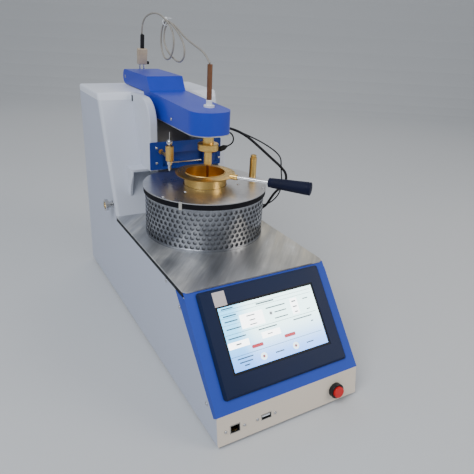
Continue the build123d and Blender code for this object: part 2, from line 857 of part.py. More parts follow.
# ---------------------------------------------------------------- heater and hot plate
heating_bottom_z = board_bottom_z - heating_plate_thickness

with BuildPart() as heater_shroud:
    with BuildSketch(Plane.XY.offset(deck_z)):
        with Locations((heater_x, heater_y)):
            Circle(shroud_radius)
    extrude(amount=board_bottom_z - deck_z)
    for band_bottom in (deck_z, board_bottom_z - shroud_band_height / 2):
        with BuildSketch(Plane.XY.offset(band_bottom)):
            with Locations((heater_x, heater_y)):
                Circle(shroud_radius + shroud_band_proud)
        extrude(amount=shroud_band_height if band_bottom == deck_z else shroud_band_height / 2)
    with BuildSketch(Plane.XY.offset(deck_z)):
        with Locations((heater_x, heater_y)):
            Circle(shroud_radius - shroud_wall)
    extrude(amount=board_bottom_z - deck_z, mode=Mode.SUBTRACT)
heater_shroud.part.label = "heater_shroud"
export_step(heater_shroud.part, "parts/heater_shroud.step")

with BuildPart() as insulation_board:
    with BuildSketch(Plane.XY.offset(board_bottom_z)):
        with Locations((heater_x, heater_y)):
            Circle(disc_radius - board_setback)
            Circle(recess_radius, mode=Mode.SUBTRACT)
    extrude(amount=board_thickness)
insulation_board.part.label = "insulation_board"
export_step(insulation_board.part, "parts/insulation_board.step")

with BuildPart() as hot_plate_cover:
    with BuildSketch(Plane.XY.offset(board_top_z)):
        with Locations((heater_x, heater_y)):
            Circle(disc_radius)
            Circle(recess_radius, mode=Mode.SUBTRACT)
    extrude(amount=cover_thickness)
hot_plate_cover.part.label = "hot_plate_cover"
export_step(hot_plate_cover.part, "parts/hot_plate_cover.step")

# the heating element is cast in a ring below the plate
with BuildPart() as heating_plate:
    with BuildSketch(Plane.XY.offset(heating_bottom_z)):
        with Locations((heater_x, heater_y)):
            Circle(heating_plate_radius)
    extrude(amount=heating_plate_thickness)
    with BuildSketch(Plane.XY.offset(cup_bottom_z)):
        with Locations((heater_x, heater_y)):
            Circle(recess_radius)
    extrude(amount=board_bottom_z - cup_bottom_z, mode=Mode.SUBTRACT)
    with BuildSketch(Plane.XY.offset(heating_bottom_z - element_height)):
        with Locations((heater_x, heater_y)):
            Circle(element_radius + element_width / 2)
            Circle(element_radius - element_width / 2, mode=Mode.SUBTRACT)
    extrude(amount=element_height)
heating_plate.part.label = "heating_plate"
export_step(heating_plate.part, "parts/heating_plate.step")

with BuildPart() as heater_stand:
    with BuildSketch(Plane.XY.offset(deck_z)):
        with Locations((heater_x, heater_y)):
            Circle(stand_radius + stand_column_radius)
            Circle(stand_radius - stand_column_radius, mode=Mode.SUBTRACT)
    extrude(amount=stand_ring_height)
    with BuildSketch(Plane.XY.offset(deck_z)):
        with Locations((heater_x, heater_y)):
            with PolarLocations(stand_radius, 3):
                Circle(stand_column_radius)
    extrude(amount=heating_bottom_z - deck_z)
heater_stand.part.label = "heater_stand"
export_step(heater_stand.part, "parts/heater_stand.step")

# three spring clips hook over the edge of the disc and hold it down on the shroud
with BuildPart() as rim_clips:
    clip_top_z = disc_z + clip_thickness
    clip_bottom_z = board_bottom_z - clip_drop
    clip_height = clip_top_z - clip_bottom_z
    for clip in range(3):
        clip_angle = clip_start_angle + 120 * clip
        clip_dir = across.rotate(Axis.Z, clip_angle)
        clip_plane = Plane(origin=(heater_x, heater_y, 0), x_dir=clip_dir, z_dir=(0, 0, 1))
        with BuildSketch(clip_plane.offset(clip_bottom_z)):
            with Locations((disc_radius, 0)):
                Rectangle(clip_thickness, clip_width, align=(Align.MIN, Align.CENTER))
        extrude(amount=clip_height)
        with BuildSketch(clip_plane.offset(disc_z)):
            with Locations((disc_radius + clip_thickness, 0)):
                Rectangle(clip_hook, clip_width, align=(Align.MAX, Align.CENTER))
        extrude(amount=clip_thickness)
        with BuildSketch(clip_plane.offset(clip_bottom_z)):
            with Locations((disc_radius + clip_thickness, 0)):
                clip_foot = disc_radius + clip_thickness - shroud_radius - shroud_band_proud
                Rectangle(clip_foot, clip_width, align=(Align.MAX, Align.CENTER))
        extrude(amount=clip_thickness)
rim_clips.part.label = "rim_clips"
export_step(rim_clips.part, "parts/rim_clips.step")

post_profile = [
    (post_x + post_radius - inwards * post_neck, base_z + post_top - down * post_neck)
    for down, inwards in post_steps
]

with BuildPart() as handle_post:
    with BuildSketch(Plane.XZ.offset(-post_y)):
        with BuildLine():
            Polyline(
                (post_x, disc_z),
                (post_x + post_radius, disc_z),
                *post_profile,
                (post_x, base_z + post_top),
                close=True,
            )
        make_face()
    revolve(axis=Axis((post_x, post_y, 0), (0, 0, 1)))
handle_post.part.label = "handle_post"
export_step(handle_post.part, "parts/handle_post.step")

# ---------------------------------------------------------------- test cup
with BuildPart() as cup:
    flange_z = cup_rim_z - cup_flange_thickness
    with BuildSketch(Plane.XZ.offset(-heater_y)):
        with BuildLine():
            Polyline(
                (heater_x, cup_bottom_z),
                (heater_x + cup_radius, cup_bottom_z),
                (heater_x + cup_radius, flange_z - cup_shoulder),
                (heater_x + cup_radius + cup_shoulder, flange_z - cup_shoulder / 2),
                (heater_x + cup_flange_radius - cup_shoulder, flange_z),
                (heater_x + cup_flange_radius, cup_rim_z - cup_flange_thickness / 2),
                (heater_x + cup_flange_radius - cup_flange_bevel, cup_rim_z - cup_rim_step),
                (heater_x + cup_bore_radius + 2 * cup_rim_step, cup_rim_z - cup_rim_step),
                (heater_x + cup_bore_radius + cup_rim_step, cup_rim_z),
                (heater_x + cup_bore_radius, cup_rim_z),
                (heater_x + cup_bore_radius, cup_floor_z),
                (heater_x, cup_floor_z),
                close=True,
            )
        make_face()
    revolve(axis=Axis((heater_x, heater_y, 0), (0, 0, 1)))
    handle_z = cup_rim_z - handle_drop
    handle_dir = Vector(*handle_point(1, 0)) - Vector(*handle_point(0, 0))
    boss_plane = Plane(origin=handle_point(handle_root, handle_z), x_dir=(0, 0, 1), z_dir=handle_dir)
    with BuildSketch(boss_plane):
        Circle(handle_boss_radius)
    extrude(amount=handle_boss_length)
    with BuildSketch(boss_plane):
        Circle(handle_rod_radius)
    extrude(amount=handle_boss_length, mode=Mode.SUBTRACT)
    with BuildSketch(Plane.XY.offset(cup_floor_z)):
        with Locations((heater_x, heater_y)):
            Circle(cup_bore_radius)
    extrude(amount=cup_depth + cup_flange_thickness, mode=Mode.SUBTRACT)
cup.part.label = "cup"
export_step(cup.part, "parts/cup.step")

with BuildPart() as cup_handle:
    with BuildSketch(boss_plane):
        Circle(handle_rod_radius)
    extrude(amount=grip_end - handle_root - grip_cap)
cup_handle.part.label = "cup_handle"
export_step(cup_handle.part, "parts/cup_handle.step")

with BuildPart() as cup_grip:
    grip_origin = handle_point(grip_start, handle_z)
    grip_plane = Plane(origin=grip_origin, x_dir=handle_dir, z_dir=handle_dir.cross(Vector(0, 0, 1)))
    grip_length = grip_end - grip_start
    with BuildSketch(grip_plane):
        with BuildLine():
            Polyline(
                (0, 0),
                (0, grip_neck_radius - grip_round),
                (grip_round, grip_neck_radius),
                (grip_length - grip_round, grip_radius),
                (grip_length, grip_radius - grip_round),
                (grip_length, 0),
                close=True,
            )
        make_face()
    revolve(axis=Axis(grip_plane.origin, handle_dir))
    with BuildSketch(boss_plane):
        Circle(handle_rod_radius)
    extrude(amount=grip_end - handle_root - grip_cap, mode=Mode.SUBTRACT)
cup_grip.part.label = "cup_grip"
export_step(cup_grip.part, "parts/cup_grip.step")


# ---------------------------------------------------------------- head of the tower
# a shelf on two gussets that taper back to the leaning wall
with BuildPart() as pedestal:
    gusset_foot_z = ledge_z - ledge_gusset
    ledge_profile = [
        (ledge_front_y, ledge_z),
        (ledge_front_y, ledge_z - ledge_lip),
        (wall_y(gusset_foot_z), gusset_foot_z),
        (wall_y(ledge_z), ledge_z),
    ]
    with BuildSketch(Plane.YZ.offset(mid_x)):
        with BuildLine():
            Polyline(*ledge_profile, close=True)
        make_face()
    extrude(amount=ledge_half_width, both=True)
    fillet(pedestal.edges().filter_by(Axis.Z), radius=ledge_round)
    with BuildSketch(Plane.XY.offset(ledge_z - 2 * sheet)):
        with Locations((mid_x, ledge_front_y + ledge_gusset / 2)):
            Rectangle(2 * (ledge_half_width - 2 * sheet), ledge_gusset)
    extrude(amount=-ledge_gusset, mode=Mode.SUBTRACT)
pedestal.part.label = "pedestal"
export_step(pedestal.part, "parts/pedestal.step")


def cheek_outline(inset, x):
    """Side outline of a cheek at x: round at the upper front, open towards the tower wall."""
    top_z = tower_z - inset
    front = cheek_front_y + inset
    low_z = ledge_z + inset
    corner = cheek_corner_radius - inset
    with BuildSketch(Plane.YZ.offset(x)) as face:
        with BuildLine():
            Line((front, low_z), (front, top_z - corner))
            JernArc((front, top_z - corner), (0, 1), corner, -90)
            Line((front + corner, top_z), (wall_y(top_z), top_z))
            Line((wall_y(top_z), top_z), (wall_y(low_z), low_z))
            Line((wall_y(low_z), low_z), (front, low_z))
        make_face()
    return face.sketch


for side, node in ((-1, "left_cheek"), (1, "right_cheek")):
    cheek_x = mid_x + side * (cheek_gap + cheek_width / 2) - cheek_width / 2
    with BuildPart() as cheek:
        add(cheek_outline(0, cheek_x))
        extrude(amount=cheek_width, dir=across)
        cheek_front = cheek.edges().filter_by(Axis.X, reverse=True)
        fillet(cheek_front.filter_by(Axis.Z), radius=cheek_round)
        add(cheek_outline(sheet, cheek_x + sheet))
        extrude(amount=cheek_width - 2 * sheet, dir=across, mode=Mode.SUBTRACT)
    cheek.part.label = node
    export_step(cheek.part, f"parts/{node}.step")

# one pressed plate across the cheeks, with a recessed pan behind its window
plate_back = cheek_front_y
plate_front = cheek_front_y - sheet
with BuildPart() as igniter_plate:
    plate_mid_x = (igniter_left + igniter_right) / 2
    plate_mid_z = base_z + (igniter_bottom + igniter_top) / 2
    recess_mid = ((recess_left + recess_right) / 2, base_z + (recess_bottom + recess_top) / 2)
    recess_size = (recess_right - recess_left, recess_top - recess_bottom)
    pan_right = mid_x + cheek_gap - fit_gap
    pan_mid = ((recess_left - sheet + pan_right) / 2, recess_mid[1])
    pan_size = (pan_right - recess_left + sheet, recess_size[1] + 2 * sheet)
    with BuildSketch(Plane.XZ.offset(-plate_back)):
        with Locations((plate_mid_x, plate_mid_z)):
            plate_size = (igniter_right - igniter_left, igniter_top - igniter_bottom)
            RectangleRounded(*plate_size, igniter_corner_radius)
    extrude(amount=sheet)
    with BuildSketch(Plane.XZ.offset(-plate_back)):
        with Locations(pan_mid):
            Rectangle(*pan_size)
    extrude(amount=-recess_depth)
    with BuildSketch(Plane.XZ.offset(-plate_front)):
        with Locations(recess_mid):
            Rectangle(*recess_size)
    extrude(amount=-sheet / 2, mode=Mode.SUBTRACT)
    with BuildSketch(Plane.XZ.offset(-plate_front)):
        with Locations(((recess_left + pan_right - sheet) / 2, recess_mid[1])):
            Rectangle(pan_right - sheet - recess_left, recess_size[1])
    extrude(amount=-recess_depth, mode=Mode.SUBTRACT)
    with BuildSketch(Plane.XZ.offset(-plate_back)):
        with Locations((burner_x, base_z + bracket_height)):
            Circle(bracket_radius)
    extrude(amount=sheet, mode=Mode.SUBTRACT)
igniter_plate.part.label = "igniter_plate"
export_step(igniter_plate.part, "parts/igniter_plate.step")

# ---------------------------------------------------------------- burner
burner_axis = Axis((burner_x, burner_y, 0), (0, 0, 1))
burner_low_z = base_z + burner_bottom
burner_top_z = base_z + burner_top
jet_z = base_z + jet_height

with BuildPart() as burner_body:
    with BuildSketch(Plane.XY.offset(burner_low_z)):
        with Locations((burner_x, burner_y)):
            Circle(burner_radius)
    extrude(amount=burner_top_z - burner_low_z)
    chamfer(burner_body.edges().filter_by(GeomType.CIRCLE), length=burner_chamfer)
    with BuildSketch(Plane.XY.offset(burner_low_z)):
        with Locations((burner_x, burner_y)):
            Circle(spindle_radius + running_gap)
    extrude(amount=burner_top_z - burner_low_z, mode=Mode.SUBTRACT)
burner_body.part.label = "burner_body"
export_step(burner_body.part, "parts/burner_body.step")

# the bracket is a tube through the plate, clamped by a flange nut
with BuildPart() as burner_bracket:
    bracket_z = base_z + bracket_height
    bracket_end = plate_back + sheet
    with BuildSketch(Plane.XZ.offset(-bracket_end)):
        with Locations((burner_x, bracket_z)):
            Circle(bracket_radius)
    extrude(amount=bracket_end - burner_y)
    with BuildSketch(Plane.XZ.offset(-plate_front)):
        with Locations((burner_x, bracket_z)):
            RegularPolygon(nut_radius, 6)
    extrude(amount=nut_thickness)
    with BuildSketch(Plane.XY.offset(burner_low_z)):
        with Locations((burner_x, burner_y)):
            Circle(burner_radius)
    extrude(amount=burner_top_z - burner_low_z, mode=Mode.SUBTRACT)
burner_bracket.part.label = "burner_bracket"
export_step(burner_bracket.part, "parts/burner_bracket.step")

with BuildPart() as burner_jet:
    spindle_low_z = burner_low_z - spindle_gap
    hub_low_z = jet_z - hub_height / 2
    stud_top_z = burner_top_z + spindle_gap + knob_radius
    with BuildSketch(Plane.XZ.offset(-burner_y)):
        with BuildLine():
            Polyline(
                (burner_x, base_z + nozzle_bottom),
                (burner_x + nozzle_radius / 2, base_z + nozzle_bottom),
                (burner_x + nozzle_radius, base_z + nozzle_bottom + nozzle_radius),
                (burner_x + nozzle_radius, hub_low_z),
                (burner_x + hub_radius, hub_low_z),
                (burner_x + hub_radius, spindle_low_z),
                (burner_x + spindle_radius, spindle_low_z),
                (burner_x + spindle_radius, burner_top_z + spindle_gap),
                (burner_x + stud_radius, burner_top_z + spindle_gap),
                (burner_x + stud_radius, stud_top_z),
                (burner_x, stud_top_z),
                close=True,
            )
        make_face()
    revolve(axis=burner_axis)
    with BuildSketch(Plane.YZ.offset(burner_x)):
        with Locations((burner_y, jet_z)):
            Circle(jet_radius)
    extrude(amount=jet_reach)
burner_jet.part.label = "burner_jet"
export_step(burner_jet.part, "parts/burner_jet.step")

# a ball knob on the stud, drawn out into a thin needle handle
with BuildPart() as burner_knob:
    knob_low_z = burner_top_z + 2 * spindle_gap
    knob_mid_z = knob_low_z + knob_radius
    with Locations((burner_x, burner_y, knob_mid_z)):
        Sphere(knob_radius)
    split(bisect_by=Plane.XY.offset(knob_low_z + knob_flat), keep=Keep.TOP)
    with BuildSketch(Plane.XY.offset(knob_mid_z)):
        with Locations((burner_x, burner_y)):
            Circle(needle_radius)
    extrude(amount=base_z + needle_top - knob_mid_z)
    with BuildSketch(Plane.XY.offset(knob_low_z)):
        with Locations((burner_x, burner_y)):
            Circle(stud_radius + running_gap)
    extrude(amount=stud_top_z + spindle_gap - knob_low_z, mode=Mode.SUBTRACT)
burner_knob.part.label = "burner_knob"
export_step(burner_knob.part, "parts/burner_knob.step")

# ---------------------------------------------------------------- arm
arm_low_z = base_z + arm_bottom
arm_high_z = base_z + arm_block_top
block_low_z = tower_z + arm_gap
root_y = wall_y(block_low_z) - wall_gap
root_low_y = wall_y(arm_low_z) - wall_gap
cover_height = arm_block_top - arm_bottom

# the side outline of the arm's cover ahead of its pivot, in Y and Z, clockwise
arm_outline = [
    (arm_nose_y, arm_low_z),
    (arm_nose_y, base_z + arm_nose_top),
    (arm_deck_y, base_z + arm_deck_top),
    (arm_block_y, arm_high_z),
    (pivot_y, arm_high_z),
    (pivot_y, block_low_z),
    (root_y, block_low_z),
    (root_low_y, arm_low_z),
]
arm_inner = inset_corners(arm_outline, arm_wall)


def arm_plan(inset, height):
    """Plan outline of the arm with its round nose, moved inwards, at a height."""
    length = pivot_y + 2 * hinge_radius - arm_nose_y
    with BuildSketch(Plane.XY.offset(height)) as face:
        with Locations((mid_x, arm_nose_y + inset)):
            Rectangle(2 * (arm_half_width - inset), length, align=(Align.CENTER, Align.MIN))
        fillet(face.vertices().group_by(Axis.Y)[0], radius=arm_nose_radius - inset)
    return face.sketch


# the space inside the cover, open below its deep front and below its rear block
with BuildPart() as arm_space:
    with BuildSketch(Plane.YZ):
        with BuildLine():
            Polyline(*arm_inner, close=True)
        make_face()
        with Locations((arm_inner[0][0], arm_inner[0][1])):
            mouth_length = arm_inner[7][0] - arm_inner[0][0]
            Rectangle(mouth_length, 2 * arm_wall, align=(Align.MIN, Align.MAX))
        with Locations((pivot_y, pivot_z)):
            Circle(hinge_radius - arm_wall)
        with Locations((arm_inner[4][0], pivot_z)):
            Rectangle(arm_wall, hinge_radius - arm_wall, align=Align.MIN)
        with Locations((arm_inner[6][0], pivot_z)):
            block_mouth = pivot_y + hinge_radius + arm_wall - arm_inner[6][0]
            Rectangle(block_mouth, hinge_radius + arm_wall, align=(Align.MIN, Align.MAX))
    extrude(amount=arm_half_width + mid_x, both=True)
    add(arm_plan(arm_wall, arm_low_z - 2 * arm_wall))
    extrude(amount=cover_height + 3 * arm_wall, mode=Mode.INTERSECT)

with BuildPart() as arm_cover:
    with BuildSketch(Plane.YZ):
        with BuildLine():
            Polyline(*arm_outline, close=True)
        make_face()
        with Locations((pivot_y, pivot_z)):
            Circle(hinge_radius)
    extrude(amount=arm_half_width + mid_x, both=True)
    add(arm_plan(0, arm_low_z - 2 * arm_wall))
    extrude(amount=cover_height + 3 * arm_wall, mode=Mode.INTERSECT)
    add(arm_space.part, mode=Mode.SUBTRACT)
    with BuildSketch(Plane.YZ.offset(mid_x)):
        with Locations((pivot_y, pivot_z)):
            Circle(shaft_radius)
    extrude(amount=arm_half_width, both=True, mode=Mode.SUBTRACT)
    with BuildSketch(Plane.XY.offset(arm_low_z)):
        with Locations((probe_x, probe_y)):
            Circle(probe_radius + fit_gap)
    extrude(amount=cover_height, mode=Mode.SUBTRACT)
arm_cover.part.label = "arm_cover"
export_step(arm_cover.part, "parts/arm_cover.step")

with BuildPart() as arm_floor:
    floor_low_z = arm_low_z - arm_floor_thickness
    add(arm_plan(floor_inset, floor_low_z))
    extrude(amount=arm_floor_thickness)
    with BuildSketch(Plane.XY.offset(floor_low_z)):
        with Locations((mid_x, root_low_y)):
            Rectangle(width, depth, align=(Align.CENTER, Align.MIN))
    extrude(amount=arm_floor_thickness, mode=Mode.SUBTRACT)
    rib_length = root_low_y - probe_y - 2 * arm_nose_radius
    for side in (-1, 1):
        rib_x = mid_x + side * (arm_half_width - arm_wall - sheet / 2)
        with Locations((rib_x, root_low_y - arm_nose_radius, arm_low_z)):
            Box(sheet, rib_length, rib_height, align=(Align.CENTER, Align.MAX, Align.MIN))
    with BuildSketch(Plane.XY.offset(arm_low_z)):
        with Locations((probe_x, probe_y)):
            Circle(clamp_radius)
    extrude(amount=clamp_height)
    with BuildSketch(Plane.XY.offset(floor_low_z)):
        with Locations((probe_x, probe_y)):
            Circle(probe_radius)
    extrude(amount=arm_floor_thickness + clamp_height, mode=Mode.SUBTRACT)
    with Locations((ring_lead_points[-1][0], probe_y, floor_low_z)):
        Box(*lead_clip, align=(Align.MAX, Align.CENTER, Align.MAX))
arm_floor.part.label = "arm_floor"
export_step(arm_floor.part, "parts/arm_floor.step")

with BuildPart() as pivot_shaft:
    with BuildSketch(Plane.YZ.offset(mid_x)):
        with Locations((pivot_y, pivot_z)):
            Circle(shaft_radius)
    extrude(amount=arm_half_width, both=True)
pivot_shaft.part.label = "pivot_shaft"
export_step(pivot_shaft.part, "parts/pivot_shaft.step")

with BuildPart() as hinge_saddle:
    saddle_half = arm_half_width - arm_wall - 2 * arm_gap
    ear_radius = hinge_radius - arm_wall - arm_gap
    with BuildSketch(Plane.XY.offset(tower_z)):
        with Locations((mid_x, pivot_y)):
            saddle_size = (2 * saddle_half, saddle_length)
            Rectangle(*saddle_size, align=(Align.CENTER, Align.MAX))
    extrude(amount=sheet)
    for side in (-1, 1):
        ear_x = mid_x + side * (saddle_half - ear_thickness)
        with BuildSketch(Plane.YZ.offset(ear_x)):
            with Locations((pivot_y, pivot_z)):
                Circle(ear_radius)
            with Locations((pivot_y, tower_z)):
                Rectangle(2 * ear_radius, pivot_z - tower_z, align=(Align.MAX, Align.MIN))
            with Locations((pivot_y, pivot_z)):
                Circle(shaft_radius + running_gap, mode=Mode.SUBTRACT)
        extrude(amount=side * ear_thickness)
hinge_saddle.part.label = "hinge_saddle"
export_step(hinge_saddle.part, "parts/hinge_saddle.step")

# a worm gear motor with a hollow output that the arm's shaft runs through
with BuildPart() as lift_motor:
    motor_seat_z = tower_z + sheet
    can_z = motor_seat_z + can_radius
    with BuildSketch(Plane.YZ.offset(mid_x)):
        with Locations((pivot_y, pivot_z)):
            Circle(ear_radius)
        with Locations((pivot_y, motor_seat_z)):
            Rectangle(gearbox_length, pivot_z + ear_radius - motor_seat_z, align=(Align.MAX, Align.MIN))
        with Locations((pivot_y, pivot_z)):
            Circle(shaft_radius + running_gap, mode=Mode.SUBTRACT)
    extrude(amount=gearbox_width / 2, both=True)
    with BuildSketch(Plane.XZ.offset(gearbox_length - pivot_y)):
        with Locations((mid_x, can_z)):
            Circle(can_radius)
    extrude(amount=can_length)
lift_motor.part.label = "lift_motor"
export_step(lift_motor.part, "parts/lift_motor.step")

# ---------------------------------------------------------------- probe and flash detector
probe_axis = Axis((probe_x, probe_y, 0), (0, 0, 1))
cover_top_z = base_z + arm_nose_top + (arm_deck_top - arm_nose_top) * (probe_y - arm_nose_y) / (
    arm_deck_y - arm_nose_y
)

with BuildPart() as probe_collar:
    collar_seat_z = cover_top_z - collar_sink
    with BuildSketch(Plane.XY.offset(collar_seat_z)):
        with Locations((probe_x, probe_y)):
            Circle(collar_radius)
    extrude(amount=collar_flange + collar_sink)
    with BuildSketch(Plane.XY.offset(collar_seat_z)):
        with Locations((probe_x, probe_y)):
            Circle(collar_neck_radius)
    extrude(amount=base_z + collar_top - collar_seat_z)
    chamfer(probe_collar.edges().group_by(Axis.Z)[-1], length=collar_chamfer)
    add(arm_cover.part, mode=Mode.SUBTRACT)
    with BuildSketch(Plane.XY.offset(collar_seat_z)):
        with Locations((probe_x, probe_y)):
            Circle(probe_radius)
    extrude(amount=base_z + collar_top - collar_seat_z, mode=Mode.SUBTRACT)
probe_collar.part.label = "probe_collar"
export_step(probe_collar.part, "parts/probe_collar.step")

with BuildPart() as probe:
    with BuildSketch(Plane.XZ.offset(-probe_y)):
        with BuildLine():
            Polyline(
                (probe_x, base_z + probe_tip_bottom),
                (probe_x + probe_tip_radius / 2, base_z + probe_tip_bottom),
                (probe_x + probe_tip_radius, base_z + probe_tip_bottom + probe_tip_radius),
                (probe_x + probe_tip_radius, base_z + ring_top),
                (probe_x + probe_radius, base_z + ring_top),
                (probe_x + probe_radius, base_z + probe_top),
                (probe_x, base_z + probe_top),
                close=True,
            )
        make_face()
    revolve(axis=probe_axis)
probe.part.label = "probe"
export_step(probe.part, "parts/probe.step")

with BuildPart() as detector_ring:
    ring_low_z = base_z + ring_bottom
    ring_high_z = base_z + ring_top
    with BuildSketch(Plane.XZ.offset(-probe_y)):
        with BuildLine():
            Polyline(
                (probe_x + probe_tip_radius, base_z + stem_bottom),
                (probe_x + stem_radius - ring_bevel, base_z + stem_bottom),
                (probe_x + stem_radius, base_z + stem_bottom + ring_bevel),
                (probe_x + stem_radius, ring_low_z),
                (probe_x + ring_radius - ring_bevel, ring_low_z),
                (probe_x + ring_radius, ring_low_z + ring_bevel),
                (probe_x + ring_radius, ring_high_z - ring_bevel),
                (probe_x + ring_radius - ring_bevel, ring_high_z),
                (probe_x + sleeve_radius, ring_high_z),
                (probe_x + sleeve_radius, floor_low_z),
                (probe_x + probe_radius, floor_low_z),
                (probe_x + probe_radius, ring_high_z),
                (probe_x + probe_tip_radius, ring_high_z),
                close=True,
            )
        make_face()
    revolve(axis=probe_axis)
detector_ring.part.label = "detector_ring"
export_step(detector_ring.part, "parts/detector_ring.step")


# ---------------------------------------------------------------- connector on the arm's block
connector_dir = Vector(0, -connector_lean, connector_height).normalized()
connector_plane = Plane(origin=(connector_x, connector_y, arm_high_z), x_dir=across, z_dir=connector_dir)
connector_base = connector_plane.offset(connector_step / 2)
boot_plane = connector_plane.offset(connector_height)

with BuildPart() as connector_body:
    with BuildSketch(Plane.XY.offset(arm_high_z)):
        with Locations((connector_x, connector_y)):
            Circle(connector_radius + connector_step / 2)
    extrude(amount=connector_step)
    with BuildSketch(connector_base):
        Circle(connector_radius)
    extrude(amount=connector_height - connector_step / 2)
    connector_rim = connector_body.edges().sort_by(Axis.Z)[-1]
    chamfer(connector_rim, length=connector_chamfer)
    with BuildSketch(Plane.YZ.offset(connector_x)):
        screw_lean = connector_lean * connector_screw_height / connector_height
        with Locations((connector_y - screw_lean, arm_high_z + connector_screw_height)):
            Circle(small_screw_radius)
    extrude(amount=connector_radius + screw_head)
connector_body.part.label = "connector_body"
export_step(connector_body.part, "parts/connector_body.step")

with BuildPart() as connector_boot:
    with BuildSketch(boot_plane):
        Circle(boot_radius)
    extrude(amount=boot_height)
    chamfer(connector_boot.edges().sort_by(Axis.Z)[-1], length=boot_radius / 3)
connector_boot.part.label = "connector_boot"
export_step(connector_boot.part, "parts/connector_boot.step")

# ---------------------------------------------------------------- cables
with BuildPart() as probe_cable:
    with BuildLine() as probe_cable_route:
        FilletPolyline(*probe_cable_points, radius=bend_radii(probe_cable_points))
    probe_cable_start = Plane(origin=probe_cable_route.line @ 0, z_dir=probe_cable_route.line % 0)
    with BuildSketch(probe_cable_start):
        Circle(probe_cable_diameter / 2)
    sweep(path=probe_cable_route.line)
probe_cable.part.label = "probe_cable"
export_step(probe_cable.part, "parts/probe_cable.step")

with BuildPart() as heater_lead:
    with BuildLine() as heater_lead_route:
        FilletPolyline(*heater_lead_points, radius=bend_radii(heater_lead_points))
    heater_lead_start = Plane(origin=heater_lead_route.line @ 0, z_dir=heater_lead_route.line % 0)
    with BuildSketch(heater_lead_start):
        Circle(heater_lead_diameter / 2)
    sweep(path=heater_lead_route.line)
heater_lead.part.label = "heater_lead"
export_step(heater_lead.part, "parts/heater_lead.step")

with BuildPart() as sensor_lead:
    with BuildLine() as sensor_lead_route:
        FilletPolyline(*sensor_lead_points, radius=bend_radii(sensor_lead_points))
    sensor_lead_start = Plane(origin=sensor_lead_route.line @ 0, z_dir=sensor_lead_route.line % 0)
    with BuildSketch(sensor_lead_start):
        Circle(sensor_lead_diameter / 2)
    sweep(path=sensor_lead_route.line)
sensor_lead.part.label = "sensor_lead"
export_step(sensor_lead.part, "parts/sensor_lead.step")

with BuildPart() as ring_lead:
    with BuildLine() as ring_lead_route:
        FilletPolyline(*ring_lead_points, radius=bend_radii(ring_lead_points))
    ring_lead_start = Plane(origin=ring_lead_route.line @ 0, z_dir=ring_lead_route.line % 0)
    with BuildSketch(ring_lead_start):
        Circle(ring_lead_diameter / 2)
    sweep(path=ring_lead_route.line)
ring_lead.part.label = "ring_lead"
export_step(ring_lead.part, "parts/ring_lead.step")

# a swelling rubber boot from the detector's stem to its lead
with BuildPart() as detector_boot:
    boot_root = Vector(probe_x + stem_radius - fit_gap, probe_y, boot_root_z)
    boot_axis_dir = (Vector(*ring_lead_points[0]) - boot_root).normalized()
    boot_length = (Vector(*ring_lead_points[0]) - boot_root).length
    boot_side = Plane(origin=boot_root, x_dir=boot_axis_dir, z_dir=(0, -1, 0))
    with BuildSketch(boot_side):
        with BuildLine():
            Polyline(
                (0, 0),
                (0, boot_stalk_radius),
                (boot_length * boot_stalk_part, boot_stalk_radius),
                (boot_length * boot_swell_start, boot_swell_radius),
                (boot_length * boot_swell_end, boot_swell_radius),
                (boot_length, ring_lead_diameter / 2),
                (boot_length, 0),
                close=True,
            )
        make_face()
    revolve(axis=Axis(boot_root, boot_axis_dir))
    add(detector_ring.part, mode=Mode.SUBTRACT)
detector_boot.part.label = "detector_boot"
export_step(detector_boot.part, "parts/detector_boot.step")

# each lead ends inside a round gland: two on the shroud and two on the tower wall
gland_seats = []
lead_starts = [(heater_lead_angle, heater_lead_diameter), (sensor_lead_angle, sensor_lead_diameter)]
lead_ends = [(heater_lead_end_x, heater_lead_diameter), (sensor_lead_end_x, sensor_lead_diameter)]
for lead_angle, lead_diameter in lead_starts:
    gland_seats.append((*shroud_seat(lead_angle), lead_diameter))
for lead_x, lead_diameter in lead_ends:
    gland_seats.append((*wall_seat(lead_x), lead_diameter))

with BuildPart() as lead_glands:
    for lead_seat, lead_dir, lead_diameter in gland_seats:
        with BuildSketch(Plane(origin=lead_seat, z_dir=lead_dir)):
            Circle(gland_radius)
        extrude(amount=gland_length)
        with BuildSketch(Plane(origin=lead_seat + lead_dir * gland_length, z_dir=lead_dir)):
            Circle(lead_diameter / 2 + fit_gap)
        extrude(amount=-gland_bore_depth, mode=Mode.SUBTRACT)
    add(heater_shroud.part, mode=Mode.SUBTRACT)
lead_glands.part.label = "lead_glands"
export_step(lead_glands.part, "parts/lead_glands.step")

# ---------------------------------------------------------------- gas valve
knob_y = side_knob_y
knob_z = base_z + side_knob_height
panel_inner_x = -half_width + sheet

with BuildPart() as gas_valve:
    with BuildSketch(Plane.YZ.offset(panel_inner_x)):
        with Locations((knob_y + valve_shift, knob_z)):
            RectangleRounded(valve_size, valve_size, sheet)
    extrude(amount=valve_size)
    with BuildSketch(Plane.YZ.offset(panel_inner_x)):
        with Locations((knob_y, knob_z)):
            Circle(valve_neck_radius)
    extrude(amount=-sheet)
    with BuildSketch(Plane.YZ.offset(-half_width)):
        with Locations((knob_y, knob_z)):
            Circle(valve_washer_radius)
    extrude(amount=-valve_washer)
    with BuildSketch(Plane.YZ.offset(-half_width - valve_washer)):
        with Locations((knob_y, knob_z)):
            Circle(valve_stem_radius + running_gap)
    extrude(amount=valve_bore_depth, mode=Mode.SUBTRACT)
gas_valve.part.label = "gas_valve"
export_step(gas_valve.part, "parts/gas_valve.step")

